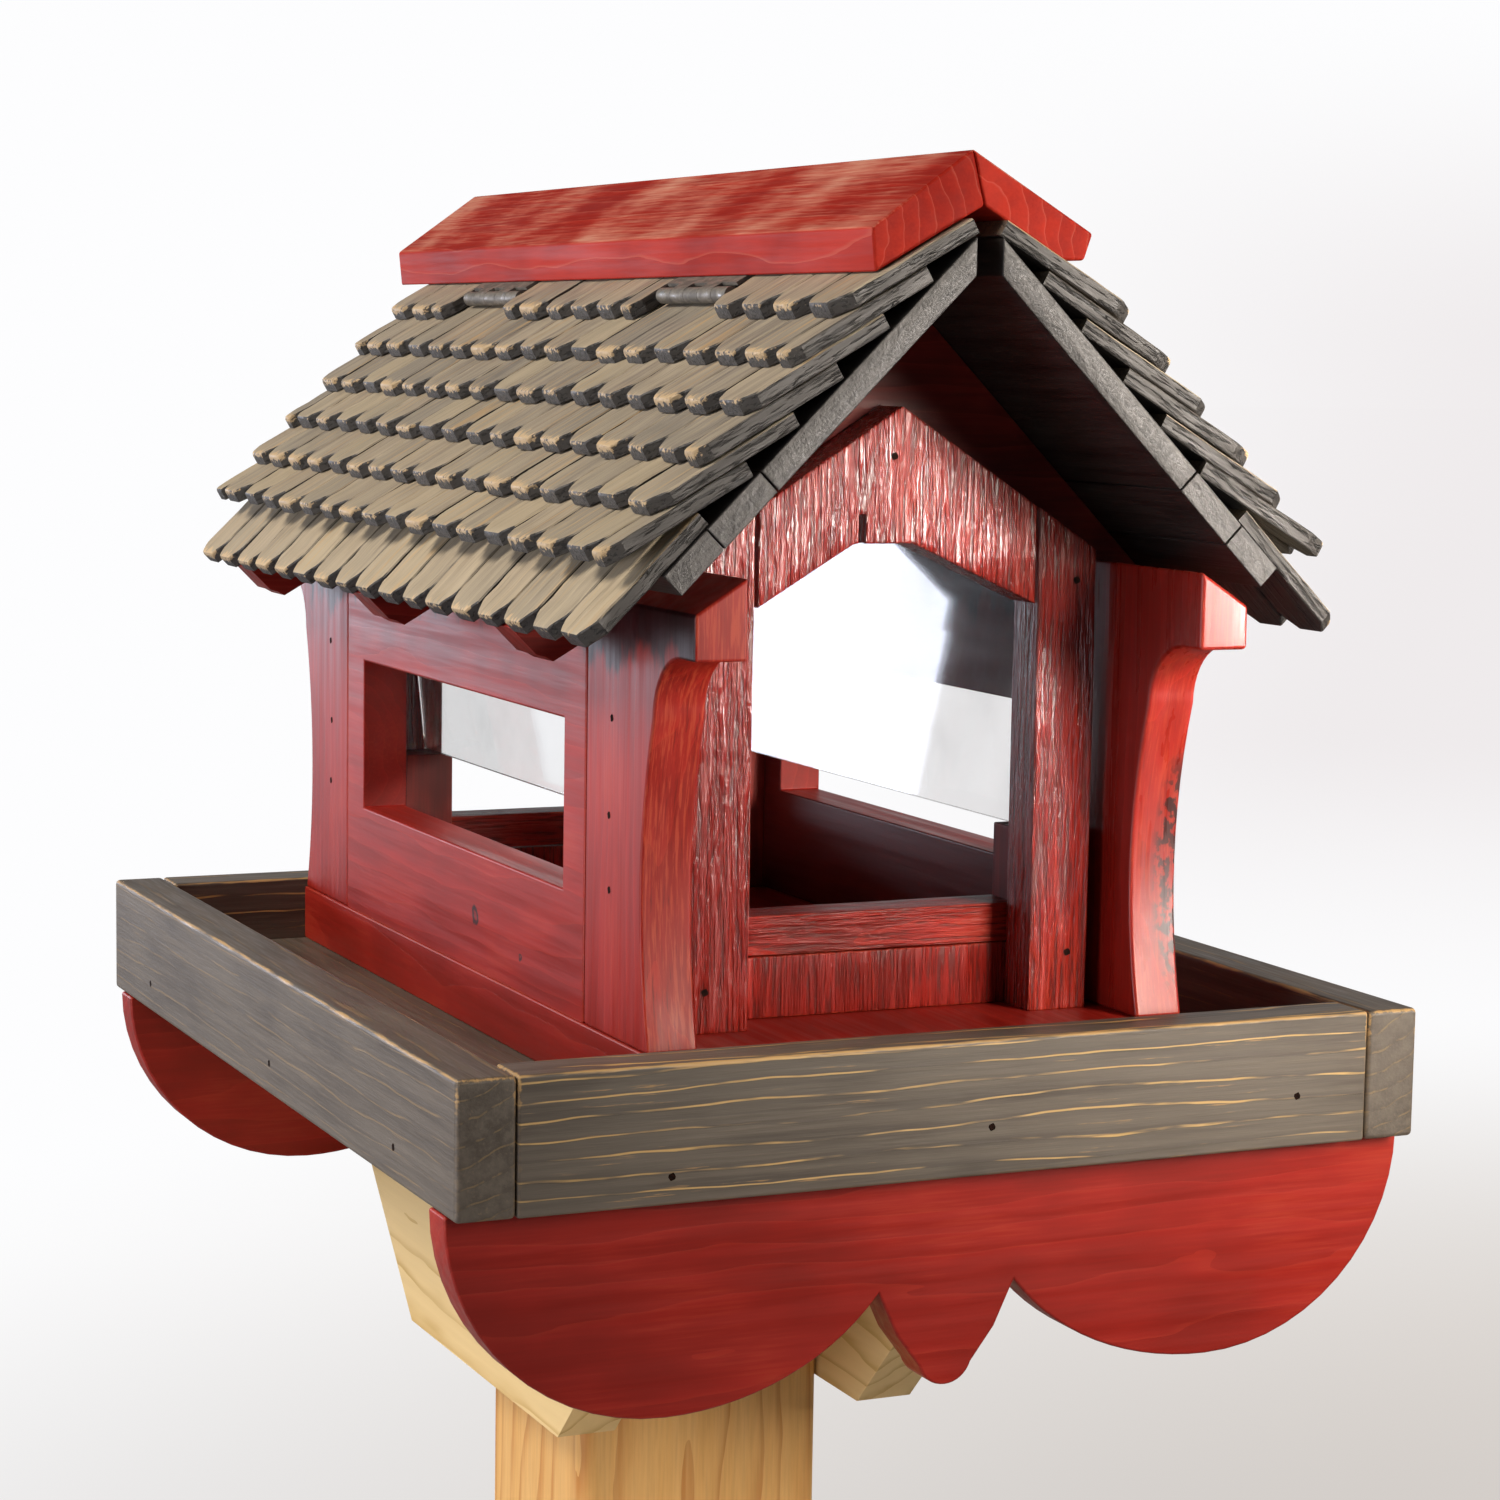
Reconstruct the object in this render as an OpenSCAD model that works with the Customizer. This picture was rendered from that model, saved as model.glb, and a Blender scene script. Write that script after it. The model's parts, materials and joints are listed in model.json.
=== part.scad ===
// Bird feeder: a small half-open house on a railed tray, carried on a square post.
// Millimetres, +Z up, +X to the right of a person facing the front, -Y towards that person.
// The origin is the centre of the post's foot.

/* [Post and bearers] */
// Height of the tray's underside above the foot
post_h = 285; // [240:5:1500]
// Side of the square post
post_w = 96; // [80:1:110]
// Radius of the post's four long edges
post_round = 6; // [2:0.5:12]
// Thickness of the two bearers that grip the post
bearer_t = 22; // [18:1:28]
// Depth of a bearer at the post
bearer_h = 118; // [90:1:130]
// Gap between a bearer's end and the apron in front of it
bearer_gap = 7; // [2:1:35]
// Depth of a bearer at its two ends
bearer_end_h = 28; // [20:1:40]
// Sideways offset of the tray's centre from the post's axis
tray_dx = 17; // [0:1:20]
// Offset of the tray's centre towards the front from the post's axis
tray_dy = 8; // [0:1:15]
// Shank radius of the bearer screws
screw_r = 3; // [2.5:0.5:4]
// Length of a bearer screw under its head
screw_l = 60; // [45:1:62]

/* [Tray] */
// Width of the tray over its side rails
tray_w = 350; // [330:1:400]
// Depth of the tray from front to back
tray_d = 420; // [410:1:460]
// Thickness of the rails
rail_t = 20; // [16:1:22]
// Height of the rails
rail_h = 45; // [42:1:60]
// Thickness of the tray floor
floor_t = 20; // [12:1:22]
// Thickness of the two scalloped aprons
apron_t = 15; // [10:1:18]
// Depth of the apron's big lobes below the tray
apron_h = 72; // [60:1:90]
// Width of the apron's middle lobe at its notches
apron_mid_w = 50; // [40:1:70]
// How far the apron stands back from the rail's face
apron_back = 10; // [4:1:14]

/* [House] */
// Width of the house over its side walls
house_w = 199; // [190:1:215]
// How far the house's centre stands behind the tray's centre
house_dy = 5; // [0:1:8]
// Gap between the back corner boards' feet and the back rail
foot_gap = 1; // [0.5:0.5:10]
// Thickness of walls, corner boards, frames and trusses
wall_t = 18; // [15:1:20]
// Height of a side wall at its outer face
wall_h = 143.5; // [135:0.5:160]
// Slope of the wall tops and of the gable frames
gable_pitch = 32.6; // [28:0.1:36]
// Thickness of the board that the house stands on
base_t = 21.5; // [16:0.5:24]
// How far that board stands out beyond the side walls
base_lip = 0.5; // [0:0.5:6]
// Width of a corner board from its joint to its waist
corner_w = 48; // [42:1:56]
// How far a corner board's foot stands out beyond its waist
corner_foot = 7; // [3:0.5:12]
// Radius of the hollow under a corner board's head
cove_r = 21; // [16:0.5:24]
// How far a corner board's head stands out beyond its waist
corner_head = 41; // [38:0.5:44]
// Height of a corner board's head at its outer face
head_h = 14.5; // [12:0.5:22]
// Wood left in a side wall at each end of its window
window_end = 20; // [12:1:50]
// Height of a side window
window_h = 58; // [40:1:70]
// Height of the window's lower edge above the base board
window_z = 42.7; // [36:0.1:55]

/* [Gable frames] */
// Setback of a gable frame's face from the corner boards' waist
frame_back = 17.4; // [8:0.2:20]
// Half the width of the opening between the stiles
opening_half = 52.5; // [45:0.5:54]
// Width of a stile
stile_w = 23.3; // [18:0.1:26]
// Height where the arch springs from the stiles, above the base board
arch_spring = 140.5; // [125:0.5:145]
// Height of the arch's flat crown above the base board
arch_crown = 161.5; // [150:0.5:165]
// Width of the arch's flat crown
crown_w = 22; // [10:1:40]
// Sideways shift of the crown
crown_dx = -6; // [-10:0.5:10]
// Width of the saw cut beside the crown
kerf_w = 2; // [1:0.1:3]
// Height of that saw cut
kerf_h = 10; // [5:0.5:14]
// Height of the lower sill board
sill_low_h = 21.5; // [15:0.5:30]
// Height of the upper sill board
sill_up_h = 14; // [8:0.5:20]
// Half the distance between the corner strips
strip_half = 57; // [55:0.5:62]
// Height of the corner strips that carry the panes
strip_h = 61; // [50:1:70]
// Thickness of the clear panes
pane_t = 3; // [2:0.5:4]
// Outward lean of the panes
pane_lean = 6; // [0:0.5:8]

/* [Roof] */
// Pitch of the roof boards
roof_pitch = 45; // [42:0.5:47]
// Depth of a truss over the wall's outer edge
heel_h = 10.5; // [8:0.5:14]
// Overall length of the roof
roof_l = 436; // [420:1:450]
// Thickness of the roof boards
deck_t = 8.8; // [7:0.1:12]
// Width of the open slot along the ridge
ridge_slot = 9; // [6:0.5:14]
// Width of the upper roof board, from the ridge line
deck_up_w = 102; // [90:1:104]
// Width of the middle roof board
deck_mid_w = 25; // [20:1:27]
// Width of the lower roof board
deck_low_w = 20; // [16:1:22]
// How far a truss tail runs past the lower roof board
tail_l = 30; // [24:1:34]
// Depth of a truss tail under the roof boards
tail_h = 8; // [5:0.5:10]

/* [Shingles] */
// Number of courses on each slope
courses = 7; // [7:1:7]
// Slats in a course
slats = 17; // [12:1:22]
// Thickness of a slat
slat_t = 5.5; // [4:0.1:6]
// Length of a slat
slat_l = 55; // [50:0.5:58]
// Length of a slat that the next course leaves bare
exposure = 21.4; // [20.5:0.1:22]
// Gap between neighbouring slats
slat_gap = 1.2; // [0.6:0.1:2.5]
// Length of the clipped corners at a slat's lower end
clip = 6; // [3:0.5:8]
// How far the lowest slats run past the lower roof board
eave_l = 40; // [36:1:42]

/* [Ridge cap] */
// Length of the ridge cap
cap_l = 461; // [430:1:470]
// How far the cap's centre stands behind the roof's centre
cap_dy = 17; // [0:1:20]
// Thickness of the two cap boards
cap_t = 13; // [10:0.5:16]
// Half the width of the cap
cap_half = 39.5; // [36:0.5:44]
// How far the right cap board laps over the left one's upper edge
cap_lap = 4.5; // [0:0.5:8]
// Length of a hinge
hinge_l = 60; // [40:1:70]
// Distance of the front hinge from the roof's centre
hinge_front = 85; // [60:1:130]
// Distance of the back hinge from the roof's centre
hinge_rear = 116; // [60:1:130]
// Width of a hinge leaf
leaf_w = 17; // [12:0.5:18]
// Thickness of a hinge leaf
leaf_t = 1.3; // [1:0.1:1.5]
// Radius of a hinge pin
pin_r = 1.2; // [1:0.1:1.3]

/* [Clearances] */
// Gap between a roof slat and what it lies on
slat_clear = 0.1; // [0.05:0.05:0.3]
// Gap under the closed ridge cap
cap_clear = 0.35; // [0.3:0.05:0.6]
// Radial running gap between hinge pin and knuckle
pin_clear = 0.05; // [0.03:0.01:0.08]
// Gap between moving hinge faces
hinge_clear = 0.3; // [0.2:0.05:0.4]
// Gap round fitted boards and panes
fit_clear = 0.3; // [0.2:0.05:0.5]

/* [Hidden] */
$fn = 48;
eps = 0.01;

// Heights, all from the foot
floor_z = post_h + floor_t;
base_z = floor_z + base_t;
eave_z = base_z + wall_h;
gable_top = eave_z + house_w / 2 * tan(gable_pitch);
apex_z = eave_z + heel_h + house_w / 2 * tan(roof_pitch);
deck_l = deck_up_w + deck_mid_w + deck_low_w;
board_gap = fit_clear;

// Plan places of the house, counted from its own centre. Its half depth at the corner
// boards' waist leaves room for their feet before the back rail.
house_half_d = tray_d / 2 - rail_t - house_dy - foot_gap - corner_foot;
joint_y = house_half_d - corner_w;
frame_y = house_half_d - frame_back;
frame_in_y = frame_y - wall_t;
house_in = house_w / 2 - wall_t;
stile_out = opening_half + stile_w;
mid_truss_y = (frame_y - frame_in_y + wall_t) / 2;

// Slats: the tilt lets each course lie flat on the one below it
tilt = asin((slat_t + slat_clear) / exposure);
slat_pitch = roof_pitch - tilt;
slat_step = roof_l / slats;
first_tip = deck_l + eave_l - (courses - 1) * exposure;

// Ridge cap and hinges: cap boards lie parallel to the top course
top_slat_end = first_tip - slat_l * cos(tilt);
deck_top_apex = apex_z + deck_t / cos(roof_pitch);
slat_top_apex = deck_top_apex + (slat_t + slat_clear * cos(tilt)) / cos(slat_pitch)
    - top_slat_end * (sin(roof_pitch) - cos(roof_pitch) * tan(slat_pitch));
cap_in_apex = slat_top_apex + cap_clear / cos(slat_pitch);
cap_out_apex = cap_in_apex + cap_t / cos(slat_pitch);
leaf_bay = slat_t + slat_clear + cap_clear;
knuckle_r = leaf_bay / 2 - 0.15;
knuckle_x = cap_half + knuckle_r + 2 * hinge_clear;
knuckle_z = cap_in_apex - knuckle_x * tan(slat_pitch) - leaf_bay / 2 / cos(slat_pitch);
knuckles = 5;
knuckle_l = hinge_l / knuckles;
hinge_places = [-hinge_front, hinge_rear];

red = "#8f1f1a";
dark_red = "#6b1613";
stain = "#6a645c";
charcoal = "#4b4a49";
taupe = "#8b8173";
pine = "#d8ae72";
treated = "#d5c490";
steel = "#77787a";

// Height of the wall tops and gable frames at a distance from the middle
function gable_z(x) = eave_z + (house_w / 2 - abs(x)) * tan(gable_pitch);

// A point on the right slope: d down the roof boards' underside, h out from it
function slope_pt(d, h) = [d * cos(roof_pitch) + h * sin(roof_pitch),
    apex_z - d * sin(roof_pitch) + h * cos(roof_pitch)];

function arc(cx, cy, r, a0, a1, n = 12) =
    [for (i = [0 : n]) [cx + r * cos(a0 + (a1 - a0) * i / n), cy + r * sin(a0 + (a1 - a0) * i / n)]];

function reversed(v) = [for (i = [len(v) - 1 : -1 : 0]) v[i]];

module on_tray() translate([tray_dx, -tray_dy, 0]) children();

module on_house() translate([tray_dx, -tray_dy + house_dy, 0]) children();

// A board cut from an outline in the XZ plane, from y0 to y1
module sheet_xz(y0, y1) translate([0, y1, 0]) rotate([90, 0, 0]) linear_extrude(y1 - y0) children();

// A board cut from an outline in the YZ plane, from x0 to x1
module sheet_yz(x0, x1) translate([x0, 0, 0]) rotate([90, 0, 90]) linear_extrude(x1 - x0) children();

module block(x0, x1, y0, y1, z0, z1) translate([x0, y0, z0]) cube([x1 - x0, y1 - y0, z1 - z0]);

// Post and bearers

screw_places = [for (side = [-1, 1], dz = [0.32, 0.68]) [side, post_h - bearer_h * dz]];

module screw_bores(r) {
    for (p = screw_places)
        translate([p[0] * (post_w / 2 + bearer_t + eps), 0, p[1]])
            rotate([0, -p[0] * 90, 0])
                cylinder(r = r, h = screw_l + fit_clear + eps);
}

module post() color(pine) difference() {
    linear_extrude(post_h)
        hull() for (x = [-1, 1], y = [-1, 1])
            translate([x, y] * (post_w / 2 - post_round)) circle(post_round);
    screw_bores(screw_r + fit_clear / 2);
}

module bearer(side) color(treated) difference() {
    end = tray_d / 2 - apron_back - apron_t - tray_dy - bearer_gap;
    flat_half = end - (bearer_h - bearer_end_h);
    x0 = side > 0 ? post_w / 2 : -post_w / 2 - bearer_t;
    sheet_yz(x0, x0 + bearer_t) polygon([[-end, post_h], [-end, post_h - bearer_end_h],
        [-flat_half, post_h - bearer_h], [flat_half, post_h - bearer_h],
        [end, post_h - bearer_end_h], [end, post_h]]);
    screw_bores(screw_r + fit_clear / 2);
}

module bearer_left() bearer(-1);
module bearer_right() bearer(1);

module bearer_screws() color(steel) for (p = screw_places)
    translate([p[0] * (post_w / 2 + bearer_t), 0, p[1]]) rotate([0, -p[0] * 90, 0]) {
        cylinder(r = screw_r, h = screw_l);
        translate([0, 0, -1.6]) cylinder(r = screw_r * 2.6, h = 1.6);
        translate([0, 0, -5.6]) cylinder(r = screw_r * 1.9, h = 4.1, $fn = 6);
    }

// Tray

module tray_floor() color(stain) on_tray()
    block(-tray_w / 2 + rail_t, tray_w / 2 - rail_t, -tray_d / 2 + rail_t, tray_d / 2 - rail_t,
        post_h, floor_z);

module side_rail(side) color(stain) on_tray() scale([side, 1, 1])
    block(tray_w / 2 - rail_t, tray_w / 2, -tray_d / 2, tray_d / 2, post_h, post_h + rail_h);

module cross_rail(side) color(stain) on_tray() scale([1, side, 1])
    block(-tray_w / 2 + rail_t, tray_w / 2 - rail_t, tray_d / 2 - rail_t, tray_d / 2,
        post_h, post_h + rail_h);

module rail_left() side_rail(-1);
module rail_right() side_rail(1);
module rail_front() cross_rail(-1);
module rail_back() cross_rail(1);

// Right half of the apron's lower edge, from the middle lobe's foot to the outer end:
// a round-footed middle lobe, then a big lobe of two quarter ellipses
lobe_x = (apron_mid_w / 2 + tray_w / 2) / 2;
lobe_out = tray_w / 2 - lobe_x;
notch_h = apron_h * 0.54;
lobe_in = (lobe_x - apron_mid_w / 2) / sqrt(1 - pow(notch_h / apron_h, 2));
notch_a = 180 + asin(notch_h / apron_h);
foot_r = 10;
foot_a = -18;
apron_half = concat(
    arc(0, -apron_h + foot_r, foot_r, -90, foot_a, 8),
    [[apron_mid_w * 0.36, -notch_h - 15]],
    [for (i = [0 : 14]) let (a = notch_a + (270 - notch_a) * i / 14)
        [lobe_x + lobe_in * cos(a), apron_h * sin(a)]],
    [for (i = [1 : 14]) let (a = 270 + 90 * i / 14) [lobe_x + lobe_out * cos(a), apron_h * sin(a)]]);

module apron(side) color(red) on_tray() {
    y0 = tray_d / 2 - apron_back - apron_t;
    mirrored = [for (p = reversed(apron_half)) [-p[0], p[1]]];
    scale([1, side, 1]) translate([0, 0, post_h])
        sheet_xz(y0, y0 + apron_t) polygon(concat(mirrored, apron_half));
}

module apron_front() apron(-1);
module apron_rear() apron(1);

// House

module base_board() color(red) on_house() {
    half_w = house_w / 2 + base_lip;
    half_d = tray_d / 2 - rail_t - house_dy;
    block(-half_w, half_w, -half_d, half_d, floor_z, base_z);
}

// The space under the sloping wall tops, from the base board up
module under_gable() sheet_xz(-tray_d, tray_d) polygon([[-house_w / 2, base_z], [house_w / 2, base_z],
    [house_w / 2, eave_z], [0, gable_top], [-house_w / 2, eave_z]]);

// A corner board: a hollow front edge, a cove and a square head that stands out under the roof
module corner_board(side, end) color(red) on_house() {
    head_z = eave_z - head_h;
    neck = house_half_d + corner_head - cove_r - 11;
    foot = house_half_d + corner_foot;
    rise = head_z - cove_r - base_z;
    waist = (foot + neck) / 2 - house_half_d;
    edge = [for (i = [0 : 12]) let (f = i / 12)
        [foot + (neck - foot) * f - waist * (1 - pow(2 * f - 1, 2)), base_z + rise * f]];
    outline = concat([[joint_y, base_z]], edge,
        arc(neck + cove_r, head_z - cove_r, cove_r, 180, 90, 10),
        [[house_half_d + corner_head, head_z], [house_half_d + corner_head, gable_top],
        [joint_y, gable_top]]);
    intersection() {
        scale([side, end, 1]) sheet_yz(house_in, house_w / 2) polygon(outline);
        under_gable();
    }
}

module corner_front_left() corner_board(-1, -1);
module corner_front_right() corner_board(1, -1);
module corner_back_left() corner_board(-1, 1);
module corner_back_right() corner_board(1, 1);

module side_wall(side) color(red) on_house() difference() {
    window_half = joint_y - window_end;
    intersection() {
        scale([side, 1, 1]) block(house_in, house_w / 2, -joint_y, joint_y, base_z, gable_top);
        under_gable();
    }
    scale([side, 1, 1]) block(house_in - 1, house_w / 2 + 1, -window_half, window_half,
        base_z + window_z, base_z + window_z + window_h);
}

module wall_left() side_wall(-1);
module wall_right() side_wall(1);

module frame_slab(end) on_house() scale([1, end, 1]) sheet_xz(frame_in_y, frame_y) children();

module stile(side, end) color(red) frame_slab(end) scale([side, 1])
    polygon([[opening_half, base_z], [stile_out, base_z], [stile_out, gable_z(stile_out)],
        [opening_half, gable_z(opening_half)]]);

module front_stile_left() stile(-1, -1);
module front_stile_right() stile(1, -1);
module back_stile_left() stile(-1, 1);
module back_stile_right() stile(1, 1);

module head(end) color(red) frame_slab(end) difference() {
    crown = [crown_dx - crown_w / 2, crown_dx + crown_w / 2];
    polygon([[-opening_half, base_z + arch_spring], [crown[0], base_z + arch_crown],
        [crown[1], base_z + arch_crown], [opening_half, base_z + arch_spring],
        [opening_half, gable_z(opening_half)], [0, gable_top],
        [-opening_half, gable_z(opening_half)]]);
    if (end < 0)
        translate([crown[0] + kerf_w, base_z + arch_crown - 1]) square([kerf_w, kerf_h + 1]);
}

module front_head() head(-1);
module back_head() head(1);

module sill(end, z0, z1) color(red) on_house() scale([1, end, 1])
    block(-strip_half, strip_half, frame_in_y - wall_t, frame_in_y, base_z + z0, base_z + z1);

module front_sill_lower() sill(-1, 0, sill_low_h);
module front_sill_upper() sill(-1, sill_low_h, sill_low_h + sill_up_h);
module back_sill_lower() sill(1, 0, sill_low_h);
module back_sill_upper() sill(1, sill_low_h, sill_low_h + sill_up_h);

module corner_strips() color(dark_red) on_house() for (x = [-1, 1], y = [-1, 1])
    scale([x, y, 1]) block(strip_half, house_in, frame_in_y - wall_t, frame_in_y,
        base_z, base_z + strip_h);

// A pane stands on the corner strips and leans out until its top meets the trusses
module pane(side) color("#dfe8ea", 0.4) on_house() {
    foot_x = strip_half + pane_t;
    foot_z = base_z + strip_h + fit_clear + pane_t * sin(pane_lean);
    reach = gable_z(foot_x + pane_t) - fit_clear - foot_z;
    pane_h = reach / (cos(pane_lean) + sin(pane_lean) * tan(gable_pitch)) - pane_t;
    half_l = frame_in_y - fit_clear;
    scale([side, 1, 1]) translate([foot_x, 0, foot_z]) rotate([0, pane_lean, 0])
        translate([0, -half_l, 0]) cube([pane_t, 2 * half_l, pane_h]);
}

module pane_left() pane(-1);
module pane_right() pane(1);

// Roof

// Right edge of a truss, from the ridge down to the wall: straight under the roof boards,
// stepped up past them to the slats, square at its tail and cut in over the wall
tail_d = deck_l + tail_l;
tail_low = slope_pt(tail_d, -tail_h);
tail_r = 4;
seat_x = house_w / 2 + fit_clear;
truss_edge = [slope_pt(deck_l + fit_clear, 0), slope_pt(deck_l + fit_clear, deck_t - fit_clear),
    slope_pt(tail_d, deck_t - fit_clear), slope_pt(tail_d, tail_r - tail_h),
    slope_pt(tail_d - tail_r * 0.4, -tail_h + tail_r * 0.3),
    [tail_low[0] - tail_r * 0.8, tail_low[1] + tail_r * 0.1],
    [seat_x, tail_low[1] + (tail_low[0] - tail_r - seat_x) * tan(gable_pitch)],
    [seat_x, eave_z], [house_w / 2, eave_z]];

module truss(y) color(dark_red) on_house() sheet_xz(y, y + wall_t)
    polygon(concat([[0, apex_z]], truss_edge, [[0, gable_top]],
        [for (p = reversed(truss_edge)) [-p[0], p[1]]]));

module truss_front() truss(-frame_in_y);
module truss_middle() truss(mid_truss_y - wall_t / 2);
module truss_back() truss(frame_y);

module deck_board(side, d0, d1) color(charcoal) on_house() scale([side, 1, 1])
    sheet_xz(-roof_l / 2, roof_l / 2) intersection() {
        polygon([slope_pt(d0, 0), slope_pt(d1, 0), slope_pt(d1, deck_t), slope_pt(d0, deck_t)]);
        translate([ridge_slot / 2, 0]) square([roof_l, 2 * apex_z]);
    }

module deck_upper(side) deck_board(side, -deck_t, deck_up_w - board_gap);
module deck_middle(side) deck_board(side, deck_up_w, deck_up_w + deck_mid_w - board_gap);
module deck_lower(side) deck_board(side, deck_up_w + deck_mid_w, deck_l);

module deck_left_upper() deck_upper(-1);
module deck_left_middle() deck_middle(-1);
module deck_left_lower() deck_lower(-1);
module deck_right_upper() deck_upper(1);
module deck_right_middle() deck_middle(1);
module deck_right_lower() deck_lower(1);

// One slat, flat: its upper end at x = 0, its lower corners clipped
module slat(l, y0, y1) {
    cut = min(clip, (y1 - y0) * 0.32);
    translate([0, y0, 0]) linear_extrude(slat_t)
        polygon([[0, 0], [l - cut, 0], [l, cut * 0.8], [l, y1 - y0 - cut * 0.8], [l - cut, y1 - y0],
            [0, y1 - y0]]);
}

// A course of slats across the roof. Even courses break joint by half a slat.
module course_row(n, l) {
    half = n % 2 == 0 ? slat_step / 2 : 0;
    for (i = [0 : slats - (half > 0 ? 0 : 1)]) {
        y0 = max(0, i * slat_step - half);
        y1 = min(roof_l, (i + 1) * slat_step - half);
        slat(l, y0 - roof_l / 2 + slat_gap / 2, y1 - roof_l / 2 - slat_gap / 2);
    }
}

// Course n, counted from the ridge. The lowest lies flat on the roof boards,
// the others tilt to lie on the course below.
module course(side, n) color(taupe) on_house() {
    tip = first_tip + (n - 1) * exposure;
    top = tip - slat_l * cos(tilt);
    starter_top = tip - exposure - slat_l * cos(tilt) + (slat_t + slat_clear) / sin(tilt);
    lowest = n == courses;
    scale([side, 1, 1]) translate([0, 0, deck_top_apex]) rotate([0, roof_pitch, 0]) difference() {
        translate([lowest ? starter_top : top, 0, slat_clear]) rotate([0, lowest ? 0 : -tilt, 0])
            course_row(n, lowest ? tip - starter_top : slat_l);
        if (n == 1 && side < 0)
            for (y = hinge_places)
                block(-cap_half, 2 * slat_l + cap_half, y - hinge_l / 2 - 3, y + hinge_l / 2 + 3,
                    -1, slat_l);
    }
}

module shingles_left_1() course(-1, 1);
module shingles_left_2() course(-1, 2);
module shingles_left_3() course(-1, 3);
module shingles_left_4() course(-1, 4);
module shingles_left_5() course(-1, 5);
module shingles_left_6() course(-1, 6);
module shingles_left_7() course(-1, 7);
module shingles_right_1() course(1, 1);
module shingles_right_2() course(1, 2);
module shingles_right_3() course(1, 3);
module shingles_right_4() course(1, 4);
module shingles_right_5() course(1, 5);
module shingles_right_6() course(1, 6);
module shingles_right_7() course(1, 7);

// Ridge cap: two boards joined at the ridge, the left one hinged along its lower edge

module cap_slab() on_house() sheet_xz(cap_dy - cap_l / 2, cap_dy + cap_l / 2) children();

function cap_in(x) = cap_in_apex - x * tan(slat_pitch);
function cap_out(x) = cap_out_apex - x * tan(slat_pitch);

// The outer ridge line, at the lap's edge
cap_ridge = [-cap_lap, cap_out(-cap_lap)];

module cap_board_left() color(red) cap_slab()
    polygon([[0, cap_in_apex], cap_ridge, [-cap_half, cap_out(cap_half)],
        [1.5 - cap_half, cap_in(cap_half - 1.5)]]);

module cap_board_right() color(red) cap_slab() {
    heel = cap_half * 0.72;
    polygon([[0, cap_in_apex], cap_ridge, [cap_half, cap_out(cap_half)],
        [cap_half - 3, cap_in(heel)], [heel, cap_in(heel)]]);
}

// Moves a hinge to its place: local X runs up the slope under the cap, local Z out of it
module at_hinge(y) on_house() translate([-knuckle_x, y, knuckle_z]) rotate([0, -slat_pitch, 0]) children();

// The knuckles of one leaf: the even ones belong to the roof leaf, the odd ones to the cap leaf
module knuckle_set(first) for (i = [first : 2 : knuckles - 1])
    translate([0, -hinge_l / 2 + i * knuckle_l + hinge_clear / 2, 0]) rotate([-90, 0, 0])
        cylinder(r = knuckle_r, h = knuckle_l - hinge_clear);

// The room that the other leaf's knuckles need in this leaf's plate
module knuckle_room(first) for (i = [first : 2 : knuckles - 1])
    block(-knuckle_r - 1, knuckle_r + 2 * hinge_clear, -hinge_l / 2 + i * knuckle_l - hinge_clear / 2,
        -hinge_l / 2 + (i + 1) * knuckle_l + hinge_clear / 2, -leaf_bay, leaf_bay);

module leaf(first, z0) difference() {
    union() {
        knuckle_set(first);
        difference() {
            block(0, leaf_w, -hinge_l / 2 + hinge_clear / 2, hinge_l / 2 - hinge_clear / 2,
                z0, z0 + leaf_t);
            knuckle_room(1 - first);
            for (y = [-1, 0, 1])
                translate([leaf_w * 0.62, y * hinge_l / 3, z0 - 1]) cylinder(r = 1.6, h = leaf_t + 2);
        }
    }
    translate([0, -hinge_l / 2 - 1, 0]) rotate([-90, 0, 0]) cylinder(r = pin_r + pin_clear, h = hinge_l + 2);
}

module hinge_leaves_roof() color(steel) for (y = hinge_places)
    at_hinge(y) leaf(0, -leaf_bay / 2 + slat_clear / 2);

module hinge_leaves_cap() color(steel) for (y = hinge_places)
    at_hinge(y) leaf(1, leaf_bay / 2 - leaf_t - slat_clear / 2);

module hinge_pins() color(steel) for (y = hinge_places) at_hinge(y) {
    translate([0, -hinge_l / 2 - 0.4, 0]) rotate([-90, 0, 0]) cylinder(r = pin_r, h = hinge_l + 0.8);
}

post();
bearer_left();
bearer_right();
bearer_screws();
tray_floor();
rail_left();
rail_right();
rail_front();
rail_back();
apron_front();
apron_rear();
base_board();
corner_front_left();
corner_front_right();
corner_back_left();
corner_back_right();
wall_left();
wall_right();
front_stile_left();
front_stile_right();
front_head();
back_stile_left();
back_stile_right();
back_head();
front_sill_lower();
front_sill_upper();
back_sill_lower();
back_sill_upper();
corner_strips();
pane_left();
pane_right();
truss_front();
truss_middle();
truss_back();
deck_left_upper();
deck_left_middle();
deck_left_lower();
deck_right_upper();
deck_right_middle();
deck_right_lower();
shingles_left_1();
shingles_left_2();
shingles_left_3();
shingles_left_4();
shingles_left_5();
shingles_left_6();
shingles_left_7();
shingles_right_1();
shingles_right_2();
shingles_right_3();
shingles_right_4();
shingles_right_5();
shingles_right_6();
shingles_right_7();
cap_board_left();
cap_board_right();
hinge_leaves_roof();
hinge_leaves_cap();
hinge_pins();
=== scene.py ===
import json
import math
import random

import bmesh
import bpy
from mathutils import Matrix, Vector, noise

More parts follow.
